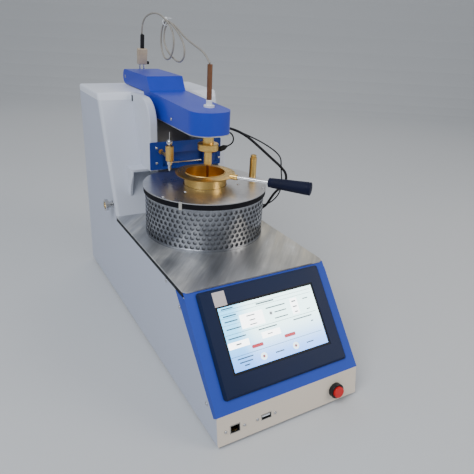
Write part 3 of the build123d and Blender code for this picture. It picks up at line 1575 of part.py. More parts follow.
with BuildPart() as gas_knob:
    knob_face_x = -half_width - side_knob_reach
    knob_back_x = -half_width - valve_washer - fit_gap
    with BuildSketch(Plane.YZ.offset(knob_face_x)):
        with Locations((knob_y, knob_z)):
            Circle(side_knob_radius)
            with PolarLocations(side_knob_radius, knob_groove_count):
                Circle(knob_groove_radius, mode=Mode.SUBTRACT)
    extrude(amount=side_knob_rim)
    with BuildSketch(Plane.YZ.offset(knob_face_x)):
        with Locations((knob_y, knob_z)):
            Circle(side_knob_hub)
    extrude(amount=knob_back_x - knob_face_x)
    with BuildSketch(Plane.YZ.offset(knob_back_x)):
        with Locations((knob_y, knob_z)):
            Circle(valve_stem_radius)
    extrude(amount=valve_bore_depth - fit_gap - sheet)
gas_knob.part.label = "gas_knob"
export_step(gas_knob.part, "parts/gas_knob.step")

# ---------------------------------------------------------------- screws
with BuildPart() as fasteners:
    for side in (-1, 1):
        with BuildSketch(Plane.YZ.offset(side * half_width)):
            with Locations(*side_screws):
                Circle(screw_radius)
        extrude(amount=side * screw_head)
        with BuildSketch(Plane.XZ.offset(-plate_front)):
            with Locations(*igniter_screws):
                Circle(small_screw_radius)
        extrude(amount=screw_head)
    for port_x in (network_x, usb_x):
        for side in (-1, 1):
            with BuildSketch(on_strip(port_x + side * port_screw_offset, port_height)):
                Circle(small_screw_radius)
            extrude(amount=screw_head)
    disc_screws = [(rim_screw_circle, rim_screw_start), (inner_screw_circle, inner_screw_start)]
    for screw_circle, screw_start in disc_screws:
        with BuildSketch(Plane.XY.offset(disc_z)):
            with Locations((heater_x, heater_y)):
                with PolarLocations(screw_circle, 3, start_angle=screw_start):
                    Circle(small_screw_radius)
        extrude(amount=screw_head)
    with BuildSketch(Plane.XY.offset(base_z + sheet)):
        with Locations((board_x, board_y)):
            with GridLocations(board_size[0] - board_margin, board_size[1] - board_margin, 2, 2):
                Circle(standoff_radius)
    extrude(amount=standoff_height)
fasteners.part.label = "fasteners"
export_step(fasteners.part, "parts/fasteners.step")

# ---------------------------------------------------------------- rear fittings
with BuildPart() as power_inlet:
    inlet_z = base_z + inlet_height
    inlet_cavity = (inlet_body[0] - 2 * socket_wall, inlet_body[1] - 2 * socket_wall)
    with BuildSketch(Plane.XZ.offset(-back_y)):
        with Locations((inlet_x, inlet_z)):
            RectangleRounded(inlet_body[0] + inlet_flange, inlet_body[1] + inlet_flange, sheet)
    extrude(amount=-sheet)
    with BuildSketch(Plane.XZ.offset(-back_y)):
        with Locations((inlet_x, inlet_z)):
            Rectangle(*inlet_body)
    extrude(amount=inlet_depth)
    with BuildSketch(Plane.XZ.offset(-back_y - sheet)):
        with Locations((inlet_x, inlet_z)):
            Rectangle(*inlet_cavity)
    extrude(amount=inlet_depth, mode=Mode.SUBTRACT)
    with BuildSketch(Plane.XZ.offset(inlet_depth - sheet - back_y)):
        with Locations((inlet_x, inlet_z - inlet_pin_offset)):
            with GridLocations(inlet_pin_pitch, 1, 2, 1):
                Rectangle(*inlet_pin)
        with Locations((inlet_x, inlet_z + inlet_pin_offset)):
            Rectangle(*inlet_pin)
    extrude(amount=-inlet_pin_length)
power_inlet.part.label = "power_inlet"
export_step(power_inlet.part, "parts/power_inlet.step")

# the hose nipple stands in a small pan set into the back
with BuildPart() as gas_inlet:
    pan_z = base_z + gas_inlet_height
    pan_inner = gas_pan_size - 2 * sheet
    with BuildSketch(Plane.XZ.offset(-back_y)):
        with Locations((gas_inlet_x, pan_z)):
            Rectangle(gas_pan_size, gas_pan_size)
    extrude(amount=gas_pan_depth)
    with BuildSketch(Plane.XZ.offset(-back_y)):
        with Locations((gas_inlet_x, pan_z)):
            Rectangle(pan_inner, pan_inner)
    extrude(amount=gas_pan_depth - sheet, mode=Mode.SUBTRACT)
    with BuildSketch(Plane.XZ.offset(gas_pan_depth - back_y)):
        with Locations((gas_inlet_x, pan_z)):
            Circle(barb_radius)
    extrude(amount=-gas_pan_depth - barb_reach)
    with BuildSketch(Plane.XZ.offset(gas_pan_depth - sheet - back_y)):
        with Locations((gas_inlet_x, pan_z)):
            RegularPolygon(barb_hex_radius, 6)
    extrude(amount=-barb_hex)
gas_inlet.part.label = "gas_inlet"
export_step(gas_inlet.part, "parts/gas_inlet.step")

# ---------------------------------------------------------------- inside the casing
fan_z = base_z + fan_height
fan_back = sheet - back_y

with BuildPart() as fan_frame:
    with BuildSketch(Plane.XZ.offset(fan_back)):
        with Locations((fan_x, fan_z)):
            RectangleRounded(fan_size, fan_size, 2 * sheet)
            Circle(fan_bore_radius, mode=Mode.SUBTRACT)
    extrude(amount=fan_depth)
    with BuildSketch(Plane.XZ.offset(fan_back + fan_depth - fan_hub)):
        with Locations((fan_x, fan_z)):
            Circle(fan_hub_radius)
            with PolarLocations(0, 3):
                Rectangle(fan_bore_radius + sheet, fan_strut, align=(Align.MIN, Align.CENTER))
    extrude(amount=fan_hub)
    with BuildSketch(Plane.XZ.offset(fan_back + fan_clearance)):
        with Locations((fan_x, fan_z)):
            Circle(fan_pin_radius)
    extrude(amount=fan_depth - fan_clearance)
fan_frame.part.label = "fan_frame"
export_step(fan_frame.part, "parts/fan_frame.step")

with BuildPart() as fan_rotor:
    rotor_depth = fan_depth - fan_hub - 2 * fan_clearance
    rotor_mid_y = back_y - sheet - fan_clearance - rotor_depth / 2
    with BuildSketch(Plane.XZ.offset(fan_back + fan_clearance)):
        with Locations((fan_x, fan_z)):
            Circle(fan_hub_radius)
    extrude(amount=rotor_depth)
    blade_length = fan_bore_radius - fan_clearance - fan_hub_radius + sheet
    for blade in range(fan_blades):
        blade_place = Location((fan_x, rotor_mid_y, fan_z), (0, 360 * blade / fan_blades, 0))
        with Locations(blade_place * Location((fan_hub_radius - sheet, 0, 0), (blade_pitch, 0, 0))):
            Box(blade_length, blade_chord, blade_thickness, align=(Align.MIN, Align.CENTER, Align.CENTER))
    with BuildSketch(Plane.XZ.offset(fan_back)):
        with Locations((fan_x, fan_z)):
            Circle(fan_pin_radius + running_gap)
    extrude(amount=fan_depth, mode=Mode.SUBTRACT)
fan_rotor.part.label = "fan_rotor"
export_step(fan_rotor.part, "parts/fan_rotor.step")

with BuildPart() as power_supply:
    with Locations((supply_x, supply_y, base_z + sheet)):
        Box(*supply_size, align=standing)
    fillet(power_supply.edges().filter_by(Axis.Z), radius=sheet)
    with Locations((supply_x, supply_y, base_z + sheet + supply_size[2])):
        with GridLocations(supply_slot_pitch, 1, supply_slots, 1):
            slot_align = (Align.CENTER, Align.CENTER, Align.MAX)
            Box(sheet, supply_size[1] / 2, sheet, align=slot_align, mode=Mode.SUBTRACT)
power_supply.part.label = "power_supply"
export_step(power_supply.part, "parts/power_supply.step")

with BuildPart() as control_board:
    board_z = base_z + sheet + standoff_height
    with Locations((board_x, board_y, board_z)):
        Box(*board_size, board_sheet, align=standing)
    for chip_x, chip_y, chip_length, chip_width, chip_height in board_chips:
        with Locations((board_x + chip_x, board_y + chip_y, board_z + board_sheet)):
            Box(chip_length, chip_width, chip_height, align=standing)
control_board.part.label = "control_board"
export_step(control_board.part, "parts/control_board.step")

# tightest bend of each cable, in its own diameters
cables = [
    ("probe_cable", probe_cable_points, probe_cable_diameter),
    ("heater_lead", heater_lead_points, heater_lead_diameter),
    ("sensor_lead", sensor_lead_points, sensor_lead_diameter),
    ("ring_lead", ring_lead_points, ring_lead_diameter),
]
for cable_name, cable_points, cable_diameter in cables:
    radii = [round(radius / cable_diameter, 1) for radius in bend_radii(cable_points)]
    print(cable_name, "radii in diameters:", radii, "tightest", min(radii))
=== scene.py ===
import math

import bpy
import numpy as np
from mathutils import Matrix, Vector


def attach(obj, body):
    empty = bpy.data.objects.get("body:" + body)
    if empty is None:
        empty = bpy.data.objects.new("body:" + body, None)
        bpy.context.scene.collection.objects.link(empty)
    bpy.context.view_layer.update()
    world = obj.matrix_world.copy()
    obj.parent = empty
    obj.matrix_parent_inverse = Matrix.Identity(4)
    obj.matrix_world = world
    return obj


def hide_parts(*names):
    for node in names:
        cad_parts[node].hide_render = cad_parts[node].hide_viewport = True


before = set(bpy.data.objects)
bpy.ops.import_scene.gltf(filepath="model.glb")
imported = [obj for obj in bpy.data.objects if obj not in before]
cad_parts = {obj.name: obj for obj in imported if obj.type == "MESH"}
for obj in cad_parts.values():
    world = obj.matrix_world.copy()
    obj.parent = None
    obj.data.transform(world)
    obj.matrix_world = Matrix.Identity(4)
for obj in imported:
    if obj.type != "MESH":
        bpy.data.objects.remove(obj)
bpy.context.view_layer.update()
print("frame loaded:", len(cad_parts), "nodes")


cameraValues = {
    "place": (-0.3435, -0.7009, 0.5072),
    "yaw": 30.87,      # degrees to the right of +Y
    "pitch": 24.16,    # degrees down
    "roll": -3.04,
    "lens": 37.4,      # mm
    "sensor": 36,      # mm
    "near": 0.02, "far": 30,
}


def makeCamera(values):
    yaw = math.radians(values["yaw"])
    pitch = math.radians(values["pitch"])
    roll = math.radians(values["roll"])
    ahead = Vector((math.sin(yaw) * math.cos(pitch), math.cos(yaw) * math.cos(pitch), -math.sin(pitch)))
    across = Vector((math.cos(yaw), -math.sin(yaw), 0))
    down = ahead.cross(across)
    right = math.cos(roll) * across + math.sin(roll) * down
    low = math.cos(roll) * down - math.sin(roll) * across
    turn = Matrix((right, -low, -ahead)).transposed()
    data = bpy.data.cameras.new("studioCamera")
    data.lens = values["lens"]
    data.sensor_width = values["sensor"]
    data.clip_start = values["near"]
    data.clip_end = values["far"]
    camera = bpy.data.objects.new("studioCamera", data)
    bpy.context.scene.collection.objects.link(camera)
    camera.matrix_world = Matrix.Translation(values["place"]) @ turn.to_4x4()
    bpy.context.scene.camera = camera


makeCamera(cameraValues)
print("camera set")


pointWeld = 0.000005    # metres under which doubled points of a small part join
poleWeld = 0.00001      # the same at the closed ends of cords and handles
screwWeld = 0.000002    # the same in screw heads


def addPiece(name, points, faces, body, slot, finish, replaced=(), uv=None, smooth=True, merge=0.0):
    # points: n x 3 array in metres; faces: m x k array of indices; uv: one pair per face corner
    mesh = bpy.data.meshes.new(name)
    points = np.asarray(points, dtype=np.float32).reshape(-1, 3)
    faces = np.asarray(faces, dtype=np.int32)
    mesh.vertices.add(len(points))
    mesh.vertices.foreach_set("co", points.ravel())
    mesh.loops.add(faces.size)
    mesh.loops.foreach_set("vertex_index", faces.ravel())
    mesh.polygons.add(len(faces))
    mesh.polygons.foreach_set("loop_start", np.arange(0, faces.size, faces.shape[1], dtype=np.int32))
    mesh.polygons.foreach_set("use_smooth", np.full(len(faces), smooth))
    if uv is not None:
        layer = mesh.uv_layers.new(name="UVMap")
        layer.data.foreach_set("uv", np.asarray(uv, dtype=np.float32).ravel())
    mesh.update(calc_edges=True)
    mesh.validate()
    piece = bpy.data.objects.new(name, mesh)
    bpy.context.scene.collection.objects.link(piece)
    if merge > 0:
        weld = piece.modifiers.new("weld", "WELD")
        weld.merge_threshold = merge
    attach(piece, body)
    if replaced:
        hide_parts(*replaced)
    piece.data.materials.append(finish)
    return piece


def gridFaces(rows, columns, wrapRows=False, wrapColumns=False):
    # quads between neighbouring points of a grid stored row by row
    r = np.arange(rows if wrapRows else rows - 1)
    c = np.arange(columns if wrapColumns else columns - 1)
    r, c = np.meshgrid(r, c, indexing="ij")
    below = (r + 1) % rows
    after = (c + 1) % columns
    quads = np.stack(
        [r * columns + c, r * columns + after, below * columns + after, below * columns + c], axis=-1,
    )
    return quads.reshape(-1, 4)


def turned(profile, centre, axis, sides):
    # surface of revolution: a point (radius, height) of the profile goes round the axis through the
    # centre; the profile is closed or starts and ends on the axis, so that the shape is closed too
    axis = Vector(axis).normalized()
    first = axis.orthogonal().normalized()
    second = axis.cross(first)
    profile = np.asarray(profile, dtype=float)
    angles = np.arange(sides) * 2 * math.pi / sides
    ring = np.outer(np.cos(angles), first) + np.outer(np.sin(angles), second)
    points = np.asarray(centre) + profile[:, None, 0:1] * ring[None] + profile[
        :, None, 1:2,
    ] * np.asarray(axis)
    return points.reshape(-1, 3), gridFaces(len(profile), sides, wrapColumns=True)


def joined(parts):
    # several (points, faces) pairs as one mesh
    allPoints, allFaces, count = [], [], 0
    for points, faces in parts:
        allPoints.append(points)
        allFaces.append(np.asarray(faces) + count)
        count += len(points)
    return np.concatenate(allPoints), np.concatenate(allFaces)


def tubeGrid(path, radius, sides):
    # a circle of the given radius stands across the path at each of its points, without twist
    along = np.gradient(path, axis=0)
    along /= np.linalg.norm(along, axis=1)[:, None]
    side = np.cross(along[0], (0.3, 0.2, 0.93))
    first = []
    for direction in along:
        side = side - direction * np.dot(side, direction)
        side /= np.linalg.norm(side)
        first.append(side)
    first = np.array(first)
    second = np.cross(along, first)
    angles = (np.arange(sides) * 2 * math.pi / sides)[None, :, None]
    ring = np.cos(angles) * first[:, None] + np.sin(angles) * second[:, None]
    return (path[:, None] + radius * ring).reshape(-1, 3)


def roundedBox(centre, size, edge, directions):
    # a box with round edges: each face of a cube is a coarse grid, and a point stands off from the
    # inner box by the edge radius
    steps = np.array([-1.0, -0.98, -0.9, 0.9, 0.98, 1.0])
    u, v = np.meshgrid(steps, steps, indexing="ij")
    u, v = u.ravel(), v.ravel()
    sheets = []
    half = np.asarray(size) / 2
    for axis in range(3):
        for sign in (-1, 1):
            cube = np.zeros((len(u), 3))
            cube[:, axis] = sign
            cube[:, (axis + 1) % 3] = u
            cube[:, (axis + 2) % 3] = v
            core = np.clip(cube * half, edge - half, half - edge)
            out = cube * half - core
            length = np.linalg.norm(out, axis=1)[:, None]
            point = core + np.where(length > 1e-9, out / np.maximum(length, 1e-9), 0) * edge
            faces = gridFaces(len(steps), len(steps))
            sheets.append((point, faces[:, ::-1] if sign > 0 else faces))
    points, faces = joined(sheets)
    points = np.asarray(centre) + points @ np.asarray(directions, dtype=float)
    return points, faces


def newGroup(name, inputs, outputs):
    group = bpy.data.node_groups.new(name, "ShaderNodeTree")
    for label, kind, value in inputs:
        socket = group.interface.new_socket(label, in_out="INPUT", socket_type=kind)
        socket.default_value = value
    for label, kind in outputs:
        group.interface.new_socket(label, in_out="OUTPUT", socket_type=kind)
    start = group.nodes.new("NodeGroupInput")
    end = group.nodes.new("NodeGroupOutput")
    return group, start, end


def node(tree, kind, values=None, **settings):
    made = tree.nodes.new(kind)
    for key, value in settings.items():
        setattr(made, key, value)
    for key, value in (values or {}).items():
        made.inputs[key].default_value = value
    return made


def mathNode(tree, operation, first, second=None, third=None):
    made = tree.nodes.new("ShaderNodeMath")
    made.operation = operation
    for index, item in enumerate((first, second, third)):
        if item is None:
            continue
        if isinstance(item, bpy.types.NodeSocket):
            tree.links.new(item, made.inputs[index])
        else:
            made.inputs[index].default_value = item
    return made.outputs[0]


def link(tree, source, target):
    tree.links.new(source, target)


def makeSurfaceGrain():
    # fine and coarse noise together: Tone around 0.5 for colour, Rough for gloss, Height for bumps
    group, start, end = newGroup(
        "surfaceGrain",
        [
            ("Fine", "NodeSocketFloat", 900.0), ("Coarse", "NodeSocketFloat", 18.0),
            ("Vector", "NodeSocketVector", (0, 0, 0)),
        ],
        [("Tone", "NodeSocketFloat"), ("Rough", "NodeSocketFloat"), ("Height", "NodeSocketFloat")],
    )
    fine = node(group, "ShaderNodeTexNoise", {"Detail": 3.0, "Roughness": 0.6})
    coarse = node(group, "ShaderNodeTexNoise", {"Detail": 4.0, "Roughness": 0.55})
    for item, label in ((fine, "Fine"), (coarse, "Coarse")):
        link(group, start.outputs["Vector"], item.inputs["Vector"])
        link(group, start.outputs[label], item.inputs["Scale"])
    tone = mathNode(
        group, "MULTIPLY_ADD", fine.outputs[0], 0.3, mathNode(group, "MULTIPLY", coarse.outputs[0], 0.7),
    )
    link(group, tone, end.inputs["Tone"])
    link(group, coarse.outputs[0], end.inputs["Rough"])
    link(group, fine.outputs[0], end.inputs["Height"])
    return group


def makeBrushed():
    # noise squeezed along one direction gives hair lines; a cloud of broad noise breaks them up
    group, start, end = newGroup(
        "brushedLines",
        [
            ("Stretch", "NodeSocketVector", (4, 400, 400)), ("Turn", "NodeSocketVector", (0, 0, 0)),
            ("Cloud", "NodeSocketFloat", 7.0),
        ],
        [("Line", "NodeSocketFloat"), ("Cloud", "NodeSocketFloat"), ("Height", "NodeSocketFloat")],
    )
    place = node(group, "ShaderNodeTexCoord")
    mapping = node(group, "ShaderNodeMapping")
    link(group, place.outputs["Object"], mapping.inputs["Vector"])
    link(group, start.outputs["Turn"], mapping.inputs["Rotation"])
    stretch = node(group, "ShaderNodeVectorMath", operation="MULTIPLY")
    link(group, mapping.outputs[0], stretch.inputs[0])
    link(group, start.outputs["Stretch"], stretch.inputs[1])
    lines = node(group, "ShaderNodeTexNoise", {"Scale": 1.0, "Detail": 4.0, "Roughness": 0.65})
    link(group, stretch.outputs[0], lines.inputs["Vector"])
    cloud = node(group, "ShaderNodeTexNoise", {"Detail": 5.0, "Roughness": 0.6, "Distortion": 0.6})
    link(group, mapping.outputs[0], cloud.inputs["Vector"])
    link(group, start.outputs["Cloud"], cloud.inputs["Scale"])
    link(group, lines.outputs[0], end.inputs["Line"])
    link(group, cloud.outputs[0], end.inputs["Cloud"])
    link(group, lines.outputs[0], end.inputs["Height"])
    return group


def makeScuffs():
    # sparse thin scratches: the ridge of a warped noise, kept only where it is sharpest
    group, start, end = newGroup(
        "scuffs",
        [("Scale", "NodeSocketFloat", 40.0), ("Amount", "NodeSocketFloat", 0.5)],
        [("Mask", "NodeSocketFloat")],
    )
    place = node(group, "ShaderNodeTexCoord")
    mapping = node(group, "ShaderNodeMapping", {"Scale": (1.0, 6.0, 2.0), "Rotation": (0.3, 0.2, 0.7)})
    link(group, place.outputs["Object"], mapping.inputs["Vector"])
    ridge = node(group, "ShaderNodeTexNoise", {"Detail": 2.0, "Distortion": 1.5})
    link(group, mapping.outputs[0], ridge.inputs["Vector"])
    link(group, start.outputs["Scale"], ridge.inputs["Scale"])
    offset = mathNode(group, "ABSOLUTE", mathNode(group, "SUBTRACT", ridge.outputs[0], 0.5))
    sharp = mathNode(group, "LESS_THAN", offset, 0.004)
    patch = node(group, "ShaderNodeTexNoise", {"Scale": 9.0, "Detail": 2.0})
    link(group, place.outputs["Object"], patch.inputs["Vector"])
    where = mathNode(
        group, "GREATER_THAN", patch.outputs[0],
        mathNode(group, "SUBTRACT", 1.0, start.outputs["Amount"]),
    )
    link(group, mathNode(group, "MULTIPLY", sharp, where), end.inputs["Mask"])
    return group


surfaceGrain = makeSurfaceGrain()
brushedLines = makeBrushed()
scuffs = makeScuffs()


def useGroup(tree, group, values):
    made = tree.nodes.new("ShaderNodeGroup")
    made.node_tree = group
    for key, value in values.items():
        made.inputs[key].default_value = value
    return made


def mixColour(tree, factor, first, second):
    made = tree.nodes.new("ShaderNodeMix")
    made.data_type = "RGBA"
    link(tree, factor, made.inputs["Factor"])
    for index, item in ((6, first), (7, second)):
        if isinstance(item, bpy.types.NodeSocket):
            link(tree, item, made.inputs[index])
        else:
            made.inputs[index].default_value = (*item, 1)
    return made.outputs[2]


def stretchTo(tree, value, low, high, fromLow=0.3, fromHigh=0.7):
    made = node(
        tree, "ShaderNodeMapRange",
        {"From Min": fromLow, "From Max": fromHigh, "To Min": low, "To Max": high},
    )
    link(tree, value, made.inputs["Value"])
    return made.outputs[0]


def shade(colour, factor):
    return tuple(min(1.0, part * factor) for part in colour)


def startMaterial(name):
    material = bpy.data.materials.new(name)
    material.use_nodes = True
    tree = material.node_tree
    shader = tree.nodes["Principled BSDF"]
    return material, tree, shader


def addBump(tree, shader, height, strength, distance):
    bump = node(tree, "ShaderNodeBump", {"Strength": strength, "Distance": distance})
    link(tree, height, bump.inputs["Height"])
    link(tree, bump.outputs[0], shader.inputs["Normal"])


def grainOn(tree, fine, coarse):
    place = node(tree, "ShaderNodeTexCoord")
    grain = useGroup(tree, surfaceGrain, {"Fine": fine, "Coarse": coarse})
    link(tree, place.outputs["Object"], grain.inputs["Vector"])
    return grain


def makePaint(values):
    # sprayed paint: broad tone drift, orange-peel bump, rare scuffs that dull it
    material, tree, shader = startMaterial(values["name"])
    grain = grainOn(tree, values["fine"], values["coarse"])
    tone = stretchTo(tree, grain.outputs["Tone"], 0.0, 1.0)
    colour = mixColour(
        tree, tone, shade(values["colour"], 1 - values["drift"]),
        shade(values["colour"], 1 + values["drift"]),
    )
    marks = useGroup(tree, scuffs, {"Scale": 26.0, "Amount": values["scuffed"]})
    dull = mathNode(tree, "MULTIPLY", marks.outputs["Mask"], 0.25)
    link(tree, mixColour(tree, dull, colour, values["scuffColour"]), shader.inputs["Base Color"])
    link(
        tree, stretchTo(tree, grain.outputs["Rough"], values["rough"][0], values["rough"][1]),
        shader.inputs["Roughness"],
    )
    shader.inputs["Specular IOR Level"].default_value = values.get("specular", 0.5)
    shader.inputs["Coat Weight"].default_value = values.get("coat", 0.0)
    shader.inputs["Coat Roughness"].default_value = values.get("coatRough", 0.1)
    addBump(tree, shader, grain.outputs["Height"], values["bump"], 0.0004)
    return material


def makeMetal(values):
    # brushed or polished metal: lines along one direction, cloudy haze in colour and gloss
    material, tree, shader = startMaterial(values["name"])
    lines = useGroup(
        tree, brushedLines,
        {"Stretch": values["stretch"], "Turn": values.get("turn", (0, 0, 0)), "Cloud": values["cloud"]},
    )
    hazy = stretchTo(tree, lines.outputs["Cloud"], 0.0, 1.0)
    base = mixColour(tree, hazy, values["colour"], values["haze"])
    streak = stretchTo(tree, lines.outputs["Line"], 0.0, values["streak"])
    link(tree, mixColour(tree, streak, base, values["dark"]), shader.inputs["Base Color"])
    rough = mathNode(
        tree, "ADD",
        stretchTo(tree, lines.outputs["Cloud"], values["rough"][0], values["rough"][1]),
        stretchTo(tree, lines.outputs["Line"], -0.04, 0.04),
    )
    link(tree, rough, shader.inputs["Roughness"])
    shader.inputs["Metallic"].default_value = 1.0
    addBump(tree, shader, lines.outputs["Height"], values["bump"], 0.0002)
    return material


def makePlastic(values):
    # moulded plastic or rubber: fine pores, soft wear that lightens and dulls it
    material, tree, shader = startMaterial(values["name"])
    grain = grainOn(tree, values["fine"], values["coarse"])
    tone = stretchTo(tree, grain.outputs["Tone"], 0.0, 1.0)
    link(tree, mixColour(tree, tone, values["colour"], values["worn"]), shader.inputs["Base Color"])
    link(
        tree, stretchTo(tree, grain.outputs["Rough"], values["rough"][0], values["rough"][1]),
        shader.inputs["Roughness"],
    )
    shader.inputs["Specular IOR Level"].default_value = values.get("specular", 0.5)
    shader.inputs["Coat Weight"].default_value = values.get("coat", 0.0)
    shader.inputs["Coat Roughness"].default_value = values.get("coatRough", 0.08)
    addBump(tree, shader, grain.outputs["Height"], values["bump"], 0.0003)
    return material


paints = {
    "caseGrey": {
        "colour": (0.50, 0.535, 0.635), "drift": 0.025, "fine": 1400.0, "coarse": 6.0,
        "rough": (0.36, 0.46), "bump": 0.10, "scuffed": 0.35, "scuffColour": (0.38, 0.40, 0.46),
        "specular": 0.35,
    },
    "towerPaint": {
        "colour": (0.62, 0.65, 0.73), "drift": 0.03, "fine": 1400.0, "coarse": 6.0, "rough": (0.32, 0.44),
        "bump": 0.10, "scuffed": 0.35, "scuffColour": (0.45, 0.46, 0.50), "specular": 0.35,
    },
    "stripCream": {
        "colour": (0.76, 0.67, 0.56), "drift": 0.04, "fine": 1400.0, "coarse": 8.0, "rough": (0.36, 0.46),
        "bump": 0.12, "scuffed": 0.4, "scuffColour": (0.50, 0.45, 0.38), "specular": 0.35,
    },
    "bluePaint": {
        "colour": (0.020, 0.050, 0.46), "drift": 0.08, "fine": 1100.0, "coarse": 9.0,
        "rough": (0.34, 0.44), "bump": 0.10, "scuffed": 0.3, "scuffColour": (0.12, 0.20, 0.52),
        "specular": 0.25, "coat": 0.08, "coatRough": 0.25,
    },
    "framePaint": {
        "colour": (0.036, 0.078, 0.43), "drift": 0.08, "fine": 1100.0, "coarse": 9.0,
        "rough": (0.40, 0.50), "bump": 0.10, "scuffed": 0.3, "scuffColour": (0.12, 0.20, 0.52),
        "specular": 0.08,
    },
    "coverPaint": {
        "colour": (0.76, 0.79, 0.87), "drift": 0.03, "fine": 1400.0, "coarse": 6.0, "rough": (0.32, 0.44),
        "bump": 0.10, "scuffed": 0.35, "scuffColour": (0.50, 0.51, 0.55), "specular": 0.35,
    },
    "darkBluePaint": {
        "colour": (0.010, 0.040, 0.26), "drift": 0.10, "fine": 1100.0, "coarse": 14.0,
        "rough": (0.30, 0.42), "bump": 0.10, "scuffed": 0.3, "scuffColour": (0.08, 0.12, 0.35),
        "specular": 0.3, "coat": 0.1, "coatRough": 0.2,
    },
}
metals = {
    "shroudSteel": {
        "colour": (0.42, 0.43, 0.46), "haze": (0.17, 0.18, 0.21), "dark": (0.09, 0.10, 0.12),
        "streak": 0.4, "stretch": (300, 300, 12), "cloud": 20.0, "rough": (0.13, 0.24), "bump": 0.06,
    },
    "linerSteel": {
        "colour": (0.40, 0.41, 0.44), "haze": (0.32, 0.33, 0.36), "dark": (0.22, 0.22, 0.24),
        "streak": 0.3, "stretch": (60, 60, 30), "cloud": 18.0, "rough": (0.42, 0.55), "bump": 0.04,
    },
    "discSteel": {
        "colour": (0.68, 0.67, 0.66), "haze": (0.50, 0.50, 0.52), "dark": (0.32, 0.32, 0.33),
        "streak": 0.3, "stretch": (40, 260, 260), "turn": (0, 0, 0.5), "cloud": 14.0,
        "rough": (0.24, 0.38), "bump": 0.04,
    },
    "blockAluminium": {
        "colour": (0.66, 0.67, 0.68), "haze": (0.52, 0.53, 0.54), "dark": (0.35, 0.35, 0.36),
        "streak": 0.4, "stretch": (20, 500, 500), "cloud": 20.0, "rough": (0.28, 0.4), "bump": 0.08,
    },
    "standSteel": {
        "colour": (0.40, 0.40, 0.41), "haze": (0.28, 0.28, 0.29), "dark": (0.14, 0.14, 0.14),
        "streak": 0.5, "stretch": (300, 300, 14), "cloud": 24.0, "rough": (0.32, 0.46), "bump": 0.08,
    },
    "clipSteel": {
        "colour": (0.74, 0.72, 0.66), "haze": (0.60, 0.58, 0.54), "dark": (0.35, 0.33, 0.30),
        "streak": 0.3, "stretch": (600, 600, 60), "cloud": 60.0, "rough": (0.16, 0.28), "bump": 0.06,
    },
    "brightSteel": {
        "colour": (0.72, 0.72, 0.73), "haze": (0.60, 0.60, 0.61), "dark": (0.38, 0.38, 0.38),
        "streak": 0.25, "stretch": (800, 800, 40), "cloud": 60.0, "rough": (0.12, 0.24), "bump": 0.05,
    },
    "cupBrass": {
        "colour": (0.96, 0.66, 0.22), "haze": (0.84, 0.54, 0.16), "dark": (0.42, 0.24, 0.07),
        "streak": 0.4, "stretch": (90, 90, 900), "cloud": 34.0, "rough": (0.24, 0.38), "bump": 0.10,
    },
    "rodCopper": {
        "colour": (0.42, 0.21, 0.12), "haze": (0.30, 0.14, 0.08), "dark": (0.16, 0.07, 0.04),
        "streak": 0.5, "stretch": (500, 500, 60), "cloud": 60.0, "rough": (0.26, 0.40), "bump": 0.10,
    },
}
plastics = {
    "blackRubber": {
        "colour": (0.006, 0.006, 0.007), "worn": (0.018, 0.018, 0.019), "fine": 1600.0, "coarse": 60.0,
        "rough": (0.52, 0.70), "bump": 0.25, "specular": 0.2,
    },
    "blackPlastic": {
        "colour": (0.008, 0.008, 0.010), "worn": (0.016, 0.016, 0.018), "fine": 1800.0, "coarse": 40.0,
        "rough": (0.28, 0.42), "bump": 0.15, "specular": 0.25, "coat": 0.1,
    },
    "bezelNavy": {
        "colour": (0.007, 0.014, 0.046), "worn": (0.011, 0.021, 0.062), "fine": 1500.0, "coarse": 8.0,
        "rough": (0.34, 0.46), "bump": 0.08, "specular": 0.14,
    },
    "gripNavy": {
        "colour": (0.004, 0.006, 0.022), "worn": (0.008, 0.011, 0.036), "fine": 1500.0, "coarse": 60.0,
        "rough": (0.42, 0.56), "bump": 0.2, "specular": 0.15,
    },
    "buttonRed": {
        "colour": (0.52, 0.006, 0.010), "worn": (0.70, 0.022, 0.022), "fine": 900.0, "coarse": 60.0,
        "rough": (0.28, 0.38), "bump": 0.06, "specular": 0.25, "coat": 0.15,
    },
    "collarWhite": {
        "colour": (0.88, 0.92, 0.98), "worn": (0.72, 0.72, 0.72), "fine": 900.0, "coarse": 70.0,
        "rough": (0.34, 0.48), "bump": 0.1,
    },
    "plugBeige": {
        "colour": (0.50, 0.41, 0.30), "worn": (0.40, 0.32, 0.23), "fine": 900.0, "coarse": 60.0,
        "rough": (0.36, 0.50), "bump": 0.15,
    },
    "fibreBoard": {
        "colour": (0.004, 0.004, 0.006), "worn": (0.012, 0.012, 0.016), "fine": 700.0, "coarse": 50.0,
        "rough": (0.55, 0.72), "bump": 0.35, "specular": 0.1,
    },
    "boardGreen": {
        "colour": (0.015, 0.16, 0.055), "worn": (0.02, 0.22, 0.08), "fine": 500.0, "coarse": 60.0,
        "rough": (0.25, 0.38), "bump": 0.08, "coat": 0.3,
    },
    "glassBack": {
        "colour": (0.010, 0.012, 0.016), "worn": (0.016, 0.018, 0.024), "fine": 900.0, "coarse": 20.0,
        "rough": (0.30, 0.42), "bump": 0.01, "specular": 0.12,
    },
    "plateWhite": {
        "colour": (0.60, 0.52, 0.52), "worn": (0.66, 0.60, 0.60), "fine": 900.0, "coarse": 120.0,
        "rough": (0.30, 0.42), "bump": 0.08,
    },
}


